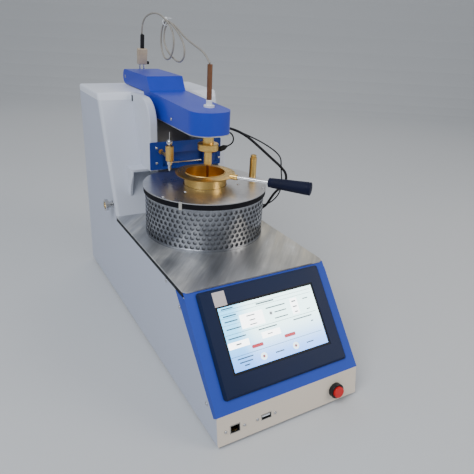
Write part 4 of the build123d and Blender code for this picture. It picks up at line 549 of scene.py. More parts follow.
def makeDeck(values):
    # worn rolled plate: long streaks along one direction, in patches, warmer towards the right; the pale
    # streaks are partly the plate's own streaks and partly painted reflection
    material, tree, shader = startMaterial("deckSteel")
    place = node(tree, "ShaderNodeTexCoord")
    parts = node(tree, "ShaderNodeSeparateXYZ")
    link(tree, place.outputs["Object"], parts.inputs[0])
    lines = useGroup(
        tree, brushedLines,
        {"Stretch": values["stretch"], "Turn": values["turn"], "Cloud": values["cloud"]},
    )
    wide = useGroup(
        tree, brushedLines, {"Stretch": values["wide"], "Turn": values["turn"], "Cloud": values["patch"]},
    )
    side = stretchTo(tree, parts.outputs[0], 0.0, 1.0, -0.02, 0.10)
    base = mixColour(tree, side, values["cool"], values["warm"])
    streak = mathNode(
        tree, "MULTIPLY",
        stretchTo(tree, wide.outputs["Line"], 0.0, 1.0, 0.46, 0.62),
        stretchTo(tree, wide.outputs["Cloud"], 0.15, 1.0, 0.42, 0.58),
    )
    # painted reflection: where the broad streaks run, the colour is pushed towards the near-white bright
    # colour
    bright = mixColour(tree, mathNode(tree, "MULTIPLY", streak, 0.95), base, values["bright"])
    hair = mathNode(
        tree, "MULTIPLY", stretchTo(tree, lines.outputs["Line"], 0.0, 1.0, 0.35, 0.65), values["streak"],
    )
    link(tree, mixColour(tree, hair, bright, values["dark"]), shader.inputs["Base Color"])
    rough = mathNode(
        tree, "ADD", stretchTo(tree, lines.outputs["Cloud"], 0.34, 0.50),
        mathNode(tree, "MULTIPLY", streak, 0.10),
    )
    link(tree, rough, shader.inputs["Roughness"])
    shader.inputs["Metallic"].default_value = 1.0
    addBump(tree, shader, lines.outputs["Height"], 0.10, 0.0002)
    return material


finishes = {}
for name, values in paints.items():
    finishes[name] = makePaint({"name": name, **values})
for name, values in metals.items():
    finishes[name] = makeMetal({"name": name, **values})
for name, values in plastics.items():
    finishes[name] = makePlastic({"name": name, **values})


def makeBraid(values):
    # two sets of crossing threads on the sleeve's own UV: u runs round it and v along it in metres
    material, tree, shader = startMaterial("braidGrey")
    place = node(tree, "ShaderNodeTexCoord")
    parts = node(tree, "ShaderNodeSeparateXYZ")
    link(tree, place.outputs["UV"], parts.inputs[0])
    turns = mathNode(tree, "MULTIPLY", parts.outputs[0], values["threads"])
    run = mathNode(tree, "MULTIPLY", parts.outputs[1], values["perMetre"])
    left = mathNode(tree, "SINE", mathNode(tree, "MULTIPLY", mathNode(tree, "ADD", turns, run), 2 * math.pi))
    right = mathNode(
        tree, "SINE", mathNode(tree, "MULTIPLY", mathNode(tree, "SUBTRACT", turns, run), 2 * math.pi),
    )
    weave = mathNode(tree, "MAXIMUM", left, right)
    grain = grainOn(tree, 1500.0, 90.0)
    tone = mathNode(
        tree, "ADD", stretchTo(tree, weave, 0.0, 0.7, -1.0, 1.0),
        stretchTo(tree, grain.outputs["Tone"], 0.0, 0.3),
    )
    link(tree, mixColour(tree, tone, values["dark"], values["light"]), shader.inputs["Base Color"])
    link(tree, stretchTo(tree, grain.outputs["Rough"], 0.45, 0.6), shader.inputs["Roughness"])
    shader.inputs["Metallic"].default_value = 0.35
    addBump(tree, shader, weave, 0.5, 0.0003)
    return material


# bright is the colour of the painted reflection in the pale streaks
finishes["deckSteel"] = makeDeck({
    "cool": (0.62, 0.63, 0.65), "warm": (0.76, 0.71, 0.60), "bright": (
        0.97, 0.96, 0.93,
    ), "dark": (0.36, 0.36, 0.36),
    "stretch": (70, 6, 70), "wide": (34, 4, 34), "turn": (0, 0, 0.75),
    "cloud": 11.0, "patch": 8.0, "streak": 0.6,
})


def makeShadedWallPaint(values):
    # the tower's paint with painted shade: it goes dark on the part of the wall that stands between the
    # cheeks
    material = makePaint({"name": "shadedWallPaint", **paints["towerPaint"]})
    tree = material.node_tree
    shader = next(item for item in tree.nodes if item.type == "BSDF_PRINCIPLED")
    paint = shader.inputs["Base Color"].links[0].from_socket
    place = node(tree, "ShaderNodeTexCoord")
    parts = node(tree, "ShaderNodeSeparateXYZ")
    link(tree, place.outputs["Object"], parts.inputs[0])
    away = mathNode(tree, "ABSOLUTE", parts.outputs[0], 0.0)
    across = stretchTo(tree, away, 1.0, 0.0, values["side"], values["side"] + values["sideFade"])
    up = stretchTo(tree, parts.outputs[2], 0.0, 1.0, values["foot"], values["foot"] + values["footFade"])
    # painted shade: a mask over the wall between the cheeks and above the foot, where the colour turns dark
    paintedShade = mathNode(tree, "MULTIPLY", across, up)
    link(tree, mixColour(tree, paintedShade, paint, values["dark"]), shader.inputs["Base Color"])
    return material


# the dark colour here is painted shade on the wall between the cheeks
finishes["shadedWallPaint"] = makeShadedWallPaint({
    "side": 0.044, "sideFade": 0.002, "foot": 0.250, "footFade": 0.01, "dark": (0.20, 0.20, 0.21),
})
finishes["braidGrey"] = makeBraid({
    "threads": 6, "perMetre": 260.0, "dark": (0.13, 0.115, 0.095), "light": (0.46, 0.43, 0.38),
})
print("finishes made:", len(finishes))


# routes in metres, each point a control point of the cord's line
probeCable = {
    "name": "probeCableBraid", "node": "probe_cable", "body": "arm",
    "finish": "braidGrey", "slot": "braid_grey",
    "diameter": 0.003, "stiffness": "medium", "sides": 14, "length": 0.730,
    "points": [
        (0.0015, 0.269, 0.467), (0.0015, 0.2662, 0.4834), (0.0016, 0.2506, 0.4955),
        (0.0017, 0.234, 0.5006), (0.0017, 0.2169, 0.5035), (0.0018, 0.1996, 0.5047),
        (0.0018, 0.1822, 0.5037), (0.002, 0.1652, 0.5004), (0.002, 0.1489, 0.4945),
        (0.0022, 0.133, 0.4876), (0.0026, 0.1197, 0.4766), (0.003, 0.1166, 0.4604),
        (0.0034, 0.1242, 0.4448), (0.0037, 0.1373, 0.4339), (0.004, 0.1543, 0.4311),
        (0.0043, 0.17, 0.4378), (0.0047, 0.1789, 0.4525), (0.005, 0.1797, 0.4697),
        (0.0053, 0.1723, 0.4851), (0.0055, 0.1583, 0.4949), (0.0056, 0.1413, 0.4927),
        (0.0058, 0.1251, 0.4862), (0.0059, 0.1094, 0.4789), (0.0062, 0.0946, 0.4699),
        (0.0065, 0.0824, 0.4579), (0.0071, 0.0831, 0.4417), (0.0074, 0.0976, 0.4327),
        (0.0076, 0.1148, 0.4315), (0.0078, 0.1316, 0.4357), (0.008, 0.1482, 0.4407),
        (0.0082, 0.1638, 0.4484), (0.0084, 0.1754, 0.4607), (0.0087, 0.1728, 0.4775),
        (0.009, 0.1608, 0.4898), (0.009, 0.1438, 0.4912), (0.009, 0.1269, 0.4872),
        (0.0091, 0.1106, 0.4813), (0.0092, 0.0948, 0.4742), (0.0093, 0.0782, 0.469),
        (0.0094, 0.0615, 0.4644), (0.0094, 0.0446, 0.4605), (0.0096, 0.0276, 0.4568),
        (0.0101, 0.011, 0.4506), (0.0105, -0.0025, 0.4402),
    ],
}
heaterLead = {
    "name": "heaterLeadSleeve", "node": "heater_lead", "body": "chassis",
    "finish": "blackRubber", "slot": "black_rubber",
    "diameter": 0.0045, "stiffness": "limp", "sides": 16, "length": 0.327,
    "points": [
        (0.1062, 0.00719, 0.183), (0.12204, 0.00942, 0.183), (0.134, 0.001, 0.193),
        (0.134, -0.011, 0.21), (0.1424, -0.0151, 0.2258), (0.1607, -0.0155, 0.2346),
        (0.1642, -0.0134, 0.2534), (0.1508, -0.0113, 0.2685), (0.1355, -0.0076, 0.2816),
        (0.1226, 0.0013, 0.2945), (0.1135, 0.0159, 0.3054), (0.1083, 0.0339, 0.3133),
        (0.1028, 0.0528, 0.3186), (0.0951, 0.0715, 0.3215), (0.086, 0.0897, 0.3222),
        (0.0774, 0.1081, 0.3204), (0.07, 0.12658, 0.31583), (0.07, 0.14332, 0.30921),
    ],
}
sensorLead = {
    "name": "sensorLeadSleeve", "node": "sensor_lead", "body": "chassis",
    "finish": "blackRubber", "slot": "black_rubber",
    "diameter": 0.0024, "stiffness": "limp", "sides": 12, "length": 0.314,
    "points": [
        (0.10322, 0.02121, 0.183), (0.11764, 0.02534, 0.183), (0.133, 0.018, 0.188),
        (0.1414, 0.0076, 0.1928), (0.1501, 0.001, 0.2016), (0.1584, -0.0017, 0.2128),
        (0.1626, -0.0021, 0.2262), (0.1624, -0.002, 0.2403), (0.1595, -0.0022, 0.2542),
        (0.1593, -0.0003, 0.2678), (0.163, 0.0075, 0.2784), (0.1592, 0.0184, 0.2866),
        (0.1512, 0.0278, 0.2936), (0.1419, 0.0364, 0.3), (0.1321, 0.0449, 0.3055),
        (0.123, 0.0549, 0.3101), (0.1149, 0.0659, 0.3138), (0.1076, 0.0778, 0.3165),
        (0.1007, 0.09, 0.3184), (0.0939, 0.1025, 0.3192), (0.0876, 0.1151, 0.3183),
        (0.084, 0.1303, 0.31436), (0.084, 0.14332, 0.30921),
    ],
}
ringLead = {
    "name": "ringLeadSleeve", "node": "ring_lead", "body": "arm",
    "finish": "blackRubber", "slot": "black_rubber",
    "diameter": 0.0024, "stiffness": "limp", "sides": 12, "length": 0.042,
    "points": [
        (0.0463, -0.003, 0.3116), (0.054, -0.003, 0.3139), (0.0578, -0.003, 0.3218),
        (0.0545, -0.003, 0.3303), (0.0465, -0.003, 0.3354), (0.038, -0.003, 0.3354),
    ],
}


def cordLine(values):
    # smooth line with the route's points as control points
    curve = bpy.data.curves.new(values["name"] + "Line", "CURVE")
    curve.dimensions = "3D"
    curve.resolution_u = 10
    spline = curve.splines.new("NURBS")
    points = np.array(values["points"])
    spline.points.add(len(points) - 1)
    spline.points.foreach_set("co", np.column_stack([points, np.ones(len(points))]).ravel())
    spline.order_u = 3
    spline.use_endpoint_u = True
    return curve


def makeCord(values):
    # a round tube along the line, with the sleeve's length along v in metres
    curve = cordLine(values)
    holder = bpy.data.objects.new(values["name"] + "Line", curve)
    bpy.context.scene.collection.objects.link(holder)
    sampled = bpy.data.meshes.new_from_object(holder)
    path = np.zeros(len(sampled.vertices) * 3)
    sampled.vertices.foreach_get("co", path)
    path = path.reshape(-1, 3)
    bpy.data.objects.remove(holder)
    bpy.data.meshes.remove(sampled)
    bpy.data.curves.remove(curve)
    sides = values["sides"]
    radius = values["diameter"] / 2
    # a ring of repeated points lies on each end of the path, and the weld closes it to a pole
    tube = tubeGrid(path, radius, sides)
    tube = np.concatenate([np.repeat(path[:1], sides, axis=0), tube, np.repeat(path[-1:], sides, axis=0)])
    count = len(path) + 2
    faces = gridFaces(count, sides, wrapColumns=True)
    steps = np.concatenate([[0, 0], np.cumsum(np.linalg.norm(np.diff(path, axis=0), axis=1))])
    steps = np.append(steps, steps[-1])
    r, c = np.meshgrid(np.arange(count - 1), np.arange(sides), indexing="ij")
    r, c = r.ravel(), c.ravel()
    around = np.stack([c, c + 1, c + 1, c], axis=-1) / sides
    along = np.stack([steps[r], steps[r], steps[r + 1], steps[r + 1]], axis=-1)
    uv = np.stack([around, along], axis=-1)
    piece = addPiece(
        values["name"], tube, faces, values["body"], values["slot"], finishes[values["finish"]],
        (values["node"],), uv=uv, merge=poleWeld,
    )


for values in (probeCable, heaterLead, sensorLead, ringLead):
    makeCord(values)
print("cords laid")


nodeFinishes = {
    "caseGrey": ["base_tray", "left_side_panel", "right_side_panel", "back_panel", "gas_inlet"],
    # the front wall's finish carries painted shade between the cheeks
    "shadedWallPaint": ["tower_front_wall"],
    "towerPaint": ["left_cheek", "right_cheek", "pedestal"],
    "stripCream": ["front_strip"],
    "bluePaint": ["arm_cover"],
    "framePaint": ["display_frame"],
    "coverPaint": ["tower_top_cover"],
    "darkBluePaint": ["igniter_plate"],
    "deckSteel": ["top_plate", "arm_floor"],
    "discSteel": ["hot_plate_cover"],
    "shroudSteel": ["heater_shroud"],
    "blockAluminium": ["heating_plate", "power_supply"],
    "standSteel": ["heater_stand", "lift_motor", "hinge_saddle"],
    "clipSteel": ["rim_clips"],
    "brightSteel": [
        "burner_knob", "burner_jet", "cup_handle", "gas_valve", "pivot_shaft", "fasteners", "gas_knob",
    ],
    "cupBrass": ["cup", "detector_ring", "burner_body", "burner_bracket", "handle_post"],
    "rodCopper": ["probe"],
    "blackRubber": ["feet", "plate_gasket", "detector_boot", "connector_boot"],
    "blackPlastic": [
        "network_socket", "usb_socket", "button_bezel", "power_inlet", "fan_frame", "fan_rotor",
        "lead_glands",
    ],
    "bezelNavy": ["touch_bezel"],
    "glassBack": ["touch_display"],
    "gripNavy": ["cup_grip"],
    "buttonRed": ["button_cap"],
    "collarWhite": ["probe_collar"],
    "plugBeige": ["connector_body"],
    "fibreBoard": ["insulation_board"],
    "boardGreen": ["control_board"],
}


def dress(names, finish):
    for name in names:
        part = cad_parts[name]
        if not part.material_slots:
            part.data.materials.append(None)
        for holder in part.material_slots:
            holder.material = finish


for name, parts in nodeFinishes.items():
    dress(parts, finishes[name])
print("frame dressed")


shroudValues = {
    "centre": (0.0045, -0.0071),
    "radius": 0.0973,
    "wall": 0.0010,
    "low": 0.1743,
    "high": 0.2440,
    "around": 68,           # holes in a row
    "rows": 8,
    "hole": 0.0034,         # radius
    "weld": 0.00002,        # joins the neighbouring cells
    "rim": 0.0007,          # how far the plain edge bands stand proud
    "overlap": 0.0002,      # how far they lie over the holed sheet
    "play": 0.0001,         # and within it
    "edge": 0.0003,         # rounding of a band
    "bandSides": 144,
    "liner": 0.0945,        # radius of the plain sleeve seen through the holes
    "linerWall": 0.0008,
    "linerShort": 0.0002,   # how far it ends inside the shroud, and its rounding
}


def makeShroud(values):
    # each hole is a ring of twelve points inside a cell of twelve, wrapped onto the cylinder; every
    # second row is shifted by half a cell, and an inner skin, the holes' walls and two rims close it
    around, rows = values["around"], values["rows"]
    width = 2 * math.pi * values["radius"] / around
    height = width * math.sqrt(3) / 2
    middle = (values["low"] + values["high"]) / 2
    u = np.array([-2, -1, 0, 1, 2, 2, 2, 1, 0, -1, -2, -2]) / 4 * width
    v = np.array([-1, -1, -1, -1, -1, 0, 1, 1, 1, 1, 1, 0]) / 2 * height
    angle = np.arctan2(v, u)
    hole = np.stack([np.cos(angle), np.sin(angle)], axis=-1) * values["hole"]
    cell = np.stack([u, v], axis=-1)
    row, column = np.meshgrid(np.arange(rows), np.arange(around), indexing="ij")
    row, column = row.ravel(), column.ravel()
    shift = np.stack([(column + (row % 2) / 2) * width, (row - (rows - 1) / 2) * height], axis=-1)
    outer = values["radius"]
    inner = outer - values["wall"]
    skins = []
    for flat, radius in ((cell, outer), (hole, outer), (hole, inner), (cell, inner)):
        spread = flat[None] + shift[:, None]
        turn = spread[..., 0] / outer
        skins.append(np.stack([
            values["centre"][0] + radius * np.cos(turn),
            values["centre"][1] + radius * np.sin(turn),
            middle + spread[..., 1],
        ], axis=-1))
    points = np.stack(skins, axis=1)
    sides = len(cell)
    base = np.arange(rows * around)[:, None, None] * sides * len(skins)
    ring = np.arange(sides)
    after = (ring + 1) % sides
    faces = []
    for lower in range(0, 3 * sides, sides):
        upper = lower + sides
        faces.append(np.stack([lower + ring, lower + after, upper + after, upper + ring], axis=-1))
    faces = (np.concatenate(faces)[None] + base).reshape(-1, 4)
    # the lowest and highest rows are closed from the outer skin to the inner one, three rings on
    inward = 3 * sides
    for start, cells in ((np.arange(4), base[row == 0]), (np.arange(6, 10), base[row == rows - 1])):
        rim = np.stack([start + 1, start, start + inward, start + inward + 1], axis=-1)
        faces = np.concatenate([faces, (rim[None] + cells).reshape(-1, 4)])
    return points.reshape(-1, 3), faces


def makeBand(values, low, high, outer, inner, edge):
    # the closed section of a plain band with rounded outer edges, turned about the heater's axis
    profile = [
        (inner, low), (outer - edge, low), (outer, low + edge), (outer, high - edge),
        (outer - edge, high), (inner, high), (inner, low),
    ]
    return turned(profile, (*values["centre"], 0), (0, 0, 1), values["bandSides"])


def dressShroud(values):
    low, high = values["low"], values["high"]
    rowHeight = 2 * math.pi * values["radius"] / values["around"] * math.sqrt(3) / 2
    holesHeight = rowHeight * values["rows"]
    holesLow = (low + high - holesHeight) / 2
    holesHigh = holesLow + holesHeight
    outer = values["radius"] + values["rim"]
    inner = values["radius"] - values["wall"] - values["play"]
    steel = finishes["shroudSteel"]
    addPiece(
        "perforatedShroud", *makeShroud(values), "chassis", "shroud_steel", steel, ("heater_shroud",),
        smooth=False, merge=values["weld"],
    )
    bands = joined([
        makeBand(values, low, holesLow + values["overlap"], outer, inner, values["edge"]),
        makeBand(values, holesHigh - values["overlap"], high, outer, inner, values["edge"]),
    ])
    addPiece("shroudBands", *bands, "chassis", "shroud_steel", steel, smooth=False)
    short = values["linerShort"]
    liner = makeBand(
        values, low + short, high - short, values["liner"], values["liner"] - values["linerWall"], short,
    )
    addPiece("shroudLiner", *liner, "chassis", "shroud_steel", finishes["linerSteel"], smooth=False)


dressShroud(shroudValues)
print("shroud perforated")


slopeValues = {
    "rise": (0, 104.9, 126.6),             # direction up the display's slope
    "foot": (0.0005, -0.2934, 0.0477),     # middle of the slope's lower edge
    "margin": 0.016,                       # from there up to the bezel
    "halfBezel": 0.071005,
}
slopeUp = Vector(slopeValues["rise"]).normalized()
slopeOut = Vector((1, 0, 0)).cross(slopeUp)
slopeFrame = np.array([(1, 0, 0), slopeUp, slopeOut])
bezelMiddle = Vector(slopeValues["foot"]) + slopeUp * (slopeValues["margin"] + slopeValues["halfBezel"])


def onSlope(points):
    # places across, up the slope and out of it, in metres from the bezel's middle
    return np.asarray(bezelMiddle) + np.asarray(points) @ slopeFrame


screenValues = {
    "size": (0.1536, 0.0856),
    "shift": (0.0, 0.0015),
    "grid": (25, 15),                     # points of the lit panel across and up
    "glass": 0.0047,                      # height of the glass over the slope
    "lift": 0.00006,                      # height of the lit panel over that
    "film": 0.00003,                      # thickness of the panel and of what is drawn on it
    "low": (0.08, 0.26, 0.72),            # colours of the lit panel
    "side": (0.12, 0.50, 0.82),
    "high": (0.68, 0.98, 0.97),
    "glow": 3.8,
    "slide": 1.5,                         # mm that the drawn items move across the panel
    "cut": 76.2,                          # mm from the middle, where they end
    # boxes are left, low, right and high in mm, and dots are a middle and a radius
    "fields": [
        (-50.7, 9.8, -14.0, 28.8), (-78.5, -12.0, -46.0, -3.2), (-25.4, -9.9, 5.0, -1.2),
        (33.0, 10.0, 45.0, 32.5),
    ],
    "lines": [
        (-78.5, 39.4, 71.0, 39.9), (-78.5, 34.4, 71.0, 34.9), (-78.5, 19.6, -52.0, 20.0),
        (-78.5, 29.0, -52.0, 29.4), (-78.5, 6.6, 71.0, 7.2), (-78.5, -22.6, 71.0, -22.0),
    ],
    "bars": [
        (-21.0, 36.5, 8.0, 38.5), (-74.0, 40.8, -56.0, 42.5), (-74.0, 30.8, -54.0, 32.5),
        (-74.0, 23.4, -54.0, 25.1), (-74.0, 13.2, -52.0, 14.8), (-40.0, 24.4, -27.0, 25.9),
        (-37.0, 18.1, -28.0, 19.6), (-38.0, 12.2, -27.0, 13.6), (-8.0, 27.4, 24.0, 29.1),
        (4.0, 19.6, 24.0, 21.2), (2.0, 11.2, 24.0, 12.8), (35.5, 27.1, 42.5, 29.1),
        (35.5, 19.6, 42.5, 21.4), (36.5, 12.2, 42.0, 13.8), (55.0, 27.4, 64.0, 28.9),
        (57.0, 11.8, 63.0, 13.2), (-28.0, 2.1, 2.0, 3.9), (30.0, 1.8, 62.0, 3.5),
        (-75.0, 0.8, -48.0, 2.5), (-66.0, -8.4, -58.0, -6.5), (-16.0, -6.2, -8.0, -4.8),
        (58.0, -6.2, 62.0, -4.5), (-70.0, -27.2, -46.0, -25.6), (-68.0, -32.2, -48.0, -30.6),
        (-62.0, -36.8, -54.0, -35.1), (-12.0, -33.1, 2.0, -31.4), (40.0, -33.2, 52.0, -31.6),
    ],
    "pills": [(-44.5, -18.2, -26.5, -13.6), (8.5, -17.6, 26.8, -13.0)],
    "dots": [(-1.9, 20.4, 1.9)],
    "marks": [(21.9, -31.8, 1.9), (-30.7, -32.0, 1.9)],
    "halos": [(-1.9, 20.4, 3.4), (21.9, -31.8, 5.0), (-30.7, -32.0, 5.0)],
}
screenInks = [
    # piece, its boxes or dots, corner radius, height over the glass, colour, glow
    ("screenHalos", "halos", 0.006, 0.00010, (0.74, 0.90, 0.97), 2.6),
    ("screenFields", "fields", 0.0004, 0.00012, (0.95, 0.98, 1.0), 5.0),
    ("screenLines", "lines", 0.00005, 0.00015, (0.06, 0.20, 0.24), 0.1),
    ("screenBars", "bars", 0.0003, 0.00018, (0.06, 0.13, 0.17), 0.12),
    ("screenPills", "pills", 0.0016, 0.00018, (0.62, 0.012, 0.05), 0.6),
    ("screenDots", "dots", 0.0019, 0.00021, (0.10, 0.11, 0.13), 0.1),
    ("screenMarks", "marks", 0.0019, 0.00021, (0.42, 0.05, 0.07), 0.4),
]


def thickened(points, faces, drop):
    # a flat sheet as a closed slab: the same faces turned over at a lower level, and a skirt on each
    # edge that only one face uses
    spots, same = np.unique(np.round(points, 7), axis=0, return_inverse=True)
    faces = same.reshape(-1)[np.asarray(faces)]
    count = len(spots)
    corners = faces.shape[1]
    edges = np.concatenate([faces[:, [k, (k + 1) % corners]] for k in range(corners)])
    edges = edges[edges[:, 0] != edges[:, 1]]
    used = set(map(tuple, edges.tolist()))
    rim = np.array([(b, a, a + count, b + count) for a, b in edges.tolist() if (b, a) not in used])
    if corners == 3:
        rim = np.concatenate([rim[:, :3], rim[:, [0, 2, 3]]])
    lower = spots - np.array((0, 0, drop))
    return np.concatenate([spots, lower]), np.concatenate([faces, faces[:, ::-1] + count, rim])


def eased(tree, value, fromLow, fromHigh):
    made = node(
        tree, "ShaderNodeMapRange",
        {"From Min": fromLow, "From Max": fromHigh, "To Min": 0.0, "To Max": 1.0},
    )
    made.interpolation_type = "SMOOTHSTEP"
    link(tree, value, made.inputs["Value"])
    return made.outputs[0]


def makeScreenFinish(values):
    # lit panel: colour from the panel's own UV, blue at the foot and the left, near white above
    material, tree, shader = startMaterial("screenPanel")
    place = node(tree, "ShaderNodeTexCoord")
    parts = node(tree, "ShaderNodeSeparateXYZ")
    link(tree, place.outputs["UV"], parts.inputs[0])
    across = eased(tree, parts.outputs[0], 0.10, 0.34)
    up = eased(tree, parts.outputs[1], 0.02, 0.62)
    mottle = grainOn(tree, 500.0, 30.0)
    column = mixColour(tree, up, values["low"], values["side"])
    field = mixColour(tree, up, shade(values["low"], 1.15), values["high"])
    picked = mixColour(tree, across, column, field)
    even = mixColour(tree, stretchTo(tree, mottle.outputs["Tone"], 0.0, 0.05), picked, (0.6, 0.8, 0.9))
    link(tree, even, shader.inputs["Base Color"])
    link(tree, even, shader.inputs["Emission Color"])
    shader.inputs["Emission Strength"].default_value = values["glow"]
    link(tree, stretchTo(tree, mottle.outputs["Rough"], 0.10, 0.16), shader.inputs["Roughness"])
    shader.inputs["Coat Weight"].default_value = 0.5
    return material


def makeInk(name, colour, glow):
    material, tree, shader = startMaterial(name)
    grain = grainOn(tree, 700.0, 40.0)
    tone = stretchTo(tree, grain.outputs["Tone"], 0.0, 1.0)
    mixed = mixColour(tree, tone, shade(colour, 0.94), shade(colour, 1.05))
    link(tree, mixed, shader.inputs["Base Color"])
    link(tree, mixed, shader.inputs["Emission Color"])
    shader.inputs["Emission Strength"].default_value = glow
    link(tree, stretchTo(tree, grain.outputs["Rough"], 0.12, 0.20), shader.inputs["Roughness"])
    return material


def softRectangle(low, high, corner, height, steps=6):
    # rectangle with round corners, as a fan of triangles about its middle, at a height
    low, high = np.array(low), np.array(high)
    corner = min(corner, *((high - low) / 2 * 0.98))
    middle = (low + high) / 2
    angles = np.linspace(0, math.pi / 2, steps)
    left, bottom = low + corner
    right, top = high - corner
    arcs = []
    for index, (x, y) in enumerate(((right, top), (left, top), (left, bottom), (right, bottom))):
        turn = angles + index * math.pi / 2
        arcs.append(np.stack([x + corner * np.cos(turn), y + corner * np.sin(turn)], axis=-1))
    rim = np.concatenate(arcs)
    points = np.concatenate([[middle], rim])
    points = np.column_stack([points, np.full(len(points), height)])
    ring = np.arange(len(rim))
    after = (ring + 1) % len(rim)
    faces = np.stack([np.zeros(len(rim), dtype=int), ring + 1, after + 1], axis=-1)
    return points, faces


def boxed(shapes):
    # a dot's box is the square round it
    if len(shapes[0]) == 3:
        return [(x - r, y - r, x + r, y + r) for x, y, r in shapes]
    return shapes


def layer(values, boxes, corner, height):
    # one ink's boxes, moved across the panel and cut off at its edge
    slide, cut = values["slide"], values["cut"]
    return joined([
        softRectangle(
            (max(left + slide, -cut) / 1000, low / 1000), (min(right + slide, cut) / 1000, high / 1000),
            corner, height,
        )
        for left, low, right, high in boxes
    ])


def makeScreen(values):
    width, height = values["size"]
    columns, rows = values["grid"]
    u, v = np.meshgrid(np.linspace(0, 1, columns), np.linspace(0, 1, rows))
    across = (u - 0.5) * width + values["shift"][0]
    up = (v - 0.5) * height + values["shift"][1]
    flat = np.stack([across, up, np.full_like(u, values["glass"] + values["lift"])], axis=-1)
    sheet, faces = thickened(flat.reshape(-1, 3), gridFaces(rows, columns), values["film"])
    uv = ((sheet[:, :2] - values["shift"]) / values["size"] + 0.5)[faces]
    finish = makeScreenFinish(values)
    addPiece("screenPanel", onSlope(sheet), faces, "chassis", "screen_glass", finish, uv=uv, smooth=False)
    for name, key, corner, lift, colour, glow in screenInks:
        drawn = layer(values, boxed(values[key]), corner, values["glass"] + lift)
        points, faces = thickened(*drawn, values["film"])
        ink = makeInk(name + "Ink", colour, glow)
        addPiece(name, onSlope(points), faces, "chassis", "screen_glass", ink, smooth=False)


makeScreen(screenValues)
print("screen drawn")


headValues = {
    "steps": 21,                   # points across a head
    "edge": 0.45, "rise": 0.55,    # shares of the height at the edge and in the dome
    "arm": 0.13, "reach": 0.62,    # half width and length of the cross, as shares of the radius
    "depth": 0.0006,
}


def crossScrews(screws, values=headValues):
    # domed heads on a disc-shaped height field: the square grid is eased into a circle, the height is
    # that of a shallow dome, less a cross-shaped recess; a flat underside closes each head
    n = values["steps"]
    u, v = np.meshgrid(np.linspace(-1, 1, n), np.linspace(-1, 1, n), indexing="ij")
    x = (u * np.sqrt(1 - v * v / 2)).ravel()
    y = (v * np.sqrt(1 - u * u / 2)).ravel()
    away = np.hypot(x, y)
    grid = gridFaces(n, n)
    index = np.arange(n * n).reshape(n, n)
    edge = np.concatenate([index[0], index[1:, -1], index[-1, -2::-1], index[-2:0:-1, 0]])
    after = np.roll(edge, -1)
    skirt = np.stack([edge, edge + n * n, after + n * n, after], axis=-1)
    faces = np.concatenate([grid, grid[:, ::-1] + n * n, skirt])[:, ::-1]
    cross = ((np.abs(x) < values["arm"]) | (np.abs(y) < values["arm"])) & (away < values["reach"])
    heads = []
    for place, direction, radius, height in screws:
        out = Vector(direction).normalized()
        first = out.orthogonal().normalized()
        second = out.cross(first)
        dome = height * (values["edge"] + values["rise"] * np.sqrt(np.clip(1 - away ** 2, 0, 1)))
        dome = np.where(cross, dome - values["depth"], dome)
        low = np.asarray(place) + (np.outer(x * radius, first) + np.outer(y * radius, second))
        heads.append((np.concatenate([low + np.outer(dome, out), low]), faces))
    return joined(heads)


stripValues = {
    "front": -300, "foot": 5,      # mm; the strip's lower edge
    "lean": 6.6, "high": 42.7,     # how far it goes back and up
    "sockets": 19,                 # height of the sockets' middle over its lower edge
}
stripOut = Vector((0, -stripValues["high"], stripValues["lean"])).normalized()


def onStrip(x, height):
    back = stripValues["front"] + stripValues["lean"] * height / stripValues["high"]
    return (x / 1000, back / 1000, (stripValues["foot"] + height) / 1000)


screwValues = {
    "side": [(-131.0, 162.3), (-178.5, 145.4), (-264.7, 48.5)],
    "sideFace": 0.115,
    "igniter": [(-45.5, 295.6), (-45.5, 269.0), (49.5, 295.6), (75.0, 269.0)],
    "igniterFace": 0.080,
    "ports": [-103.5, -75.5, -55.8, -27.8],
    "disc": [(96.0, -37.0), (55.0, -30.0)],      # circle's radius and first angle, three screws each
    "discMiddle": (4.5, -7.1),
    "discTop": 254.0,
    "radius": 2.2,
    "sideRadius": 3.0,
    "height": 0.0016,
    "arm": ((-0.0322, 0.046, 0.3501), (-1, 0, 0), 0.0026, 0.0012),    # place, direction, radius, height
}
postValues = {
    # the control board's four standoffs are plain cylinders up from the tray
    "middle": (0.020, -0.060),
    "apart": (0.069, 0.094),       # half their distance across and along
    "profile": [
        (0, 0.007), (0.0028, 0.007), (0.003, 0.0072), (0.003, 0.0148), (0.0028, 0.015), (0, 0.015),
    ],
    "sides": 24,
}


def makePosts(values):
    posts = []
    for x in (-1, 1):
        for y in (-1, 1):
            place = (
                values["middle"][0] + x * values["apart"][0],
                values["middle"][1] + y * values["apart"][1], 0.0,
            )
            posts.append(turned(values["profile"], place, (0, 0, 1), values["sides"]))
    return posts


def makeScrews(values):
    small, large = values["radius"] / 1000, values["sideRadius"] / 1000
    height = values["height"]
    screws = []
    for side in (-1, 1):
        for y, z in values["side"]:
            screws.append(((side * values["sideFace"], y / 1000, z / 1000), (side, 0, 0), large, height))
    for x, z in values["igniter"]:
        screws.append(((x / 1000, values["igniterFace"], z / 1000), (0, -1, 0), small, height))
    for x in values["ports"]:
        screws.append((onStrip(x, stripValues["sockets"]), stripOut, small, height))
    middleX, middleY = values["discMiddle"]
    for circle, start in values["disc"]:
        for step in range(3):
            turn = math.radians(start + 120 * step)
            x = (middleX + circle * math.cos(turn)) / 1000
            y = (middleY + circle * math.sin(turn)) / 1000
            screws.append(((x, y, values["discTop"] / 1000), (0, 0, 1), small, height))
    heads = joined([crossScrews(screws), *makePosts(postValues)])
    steel = finishes["brightSteel"]
    addPiece("screwHeads", *heads, "chassis", "steel_bright", steel, ("fasteners",), merge=screwWeld)
    addPiece("armScrew", *crossScrews([values["arm"]]), "arm", "steel_bright", steel)


makeScrews(screwValues)


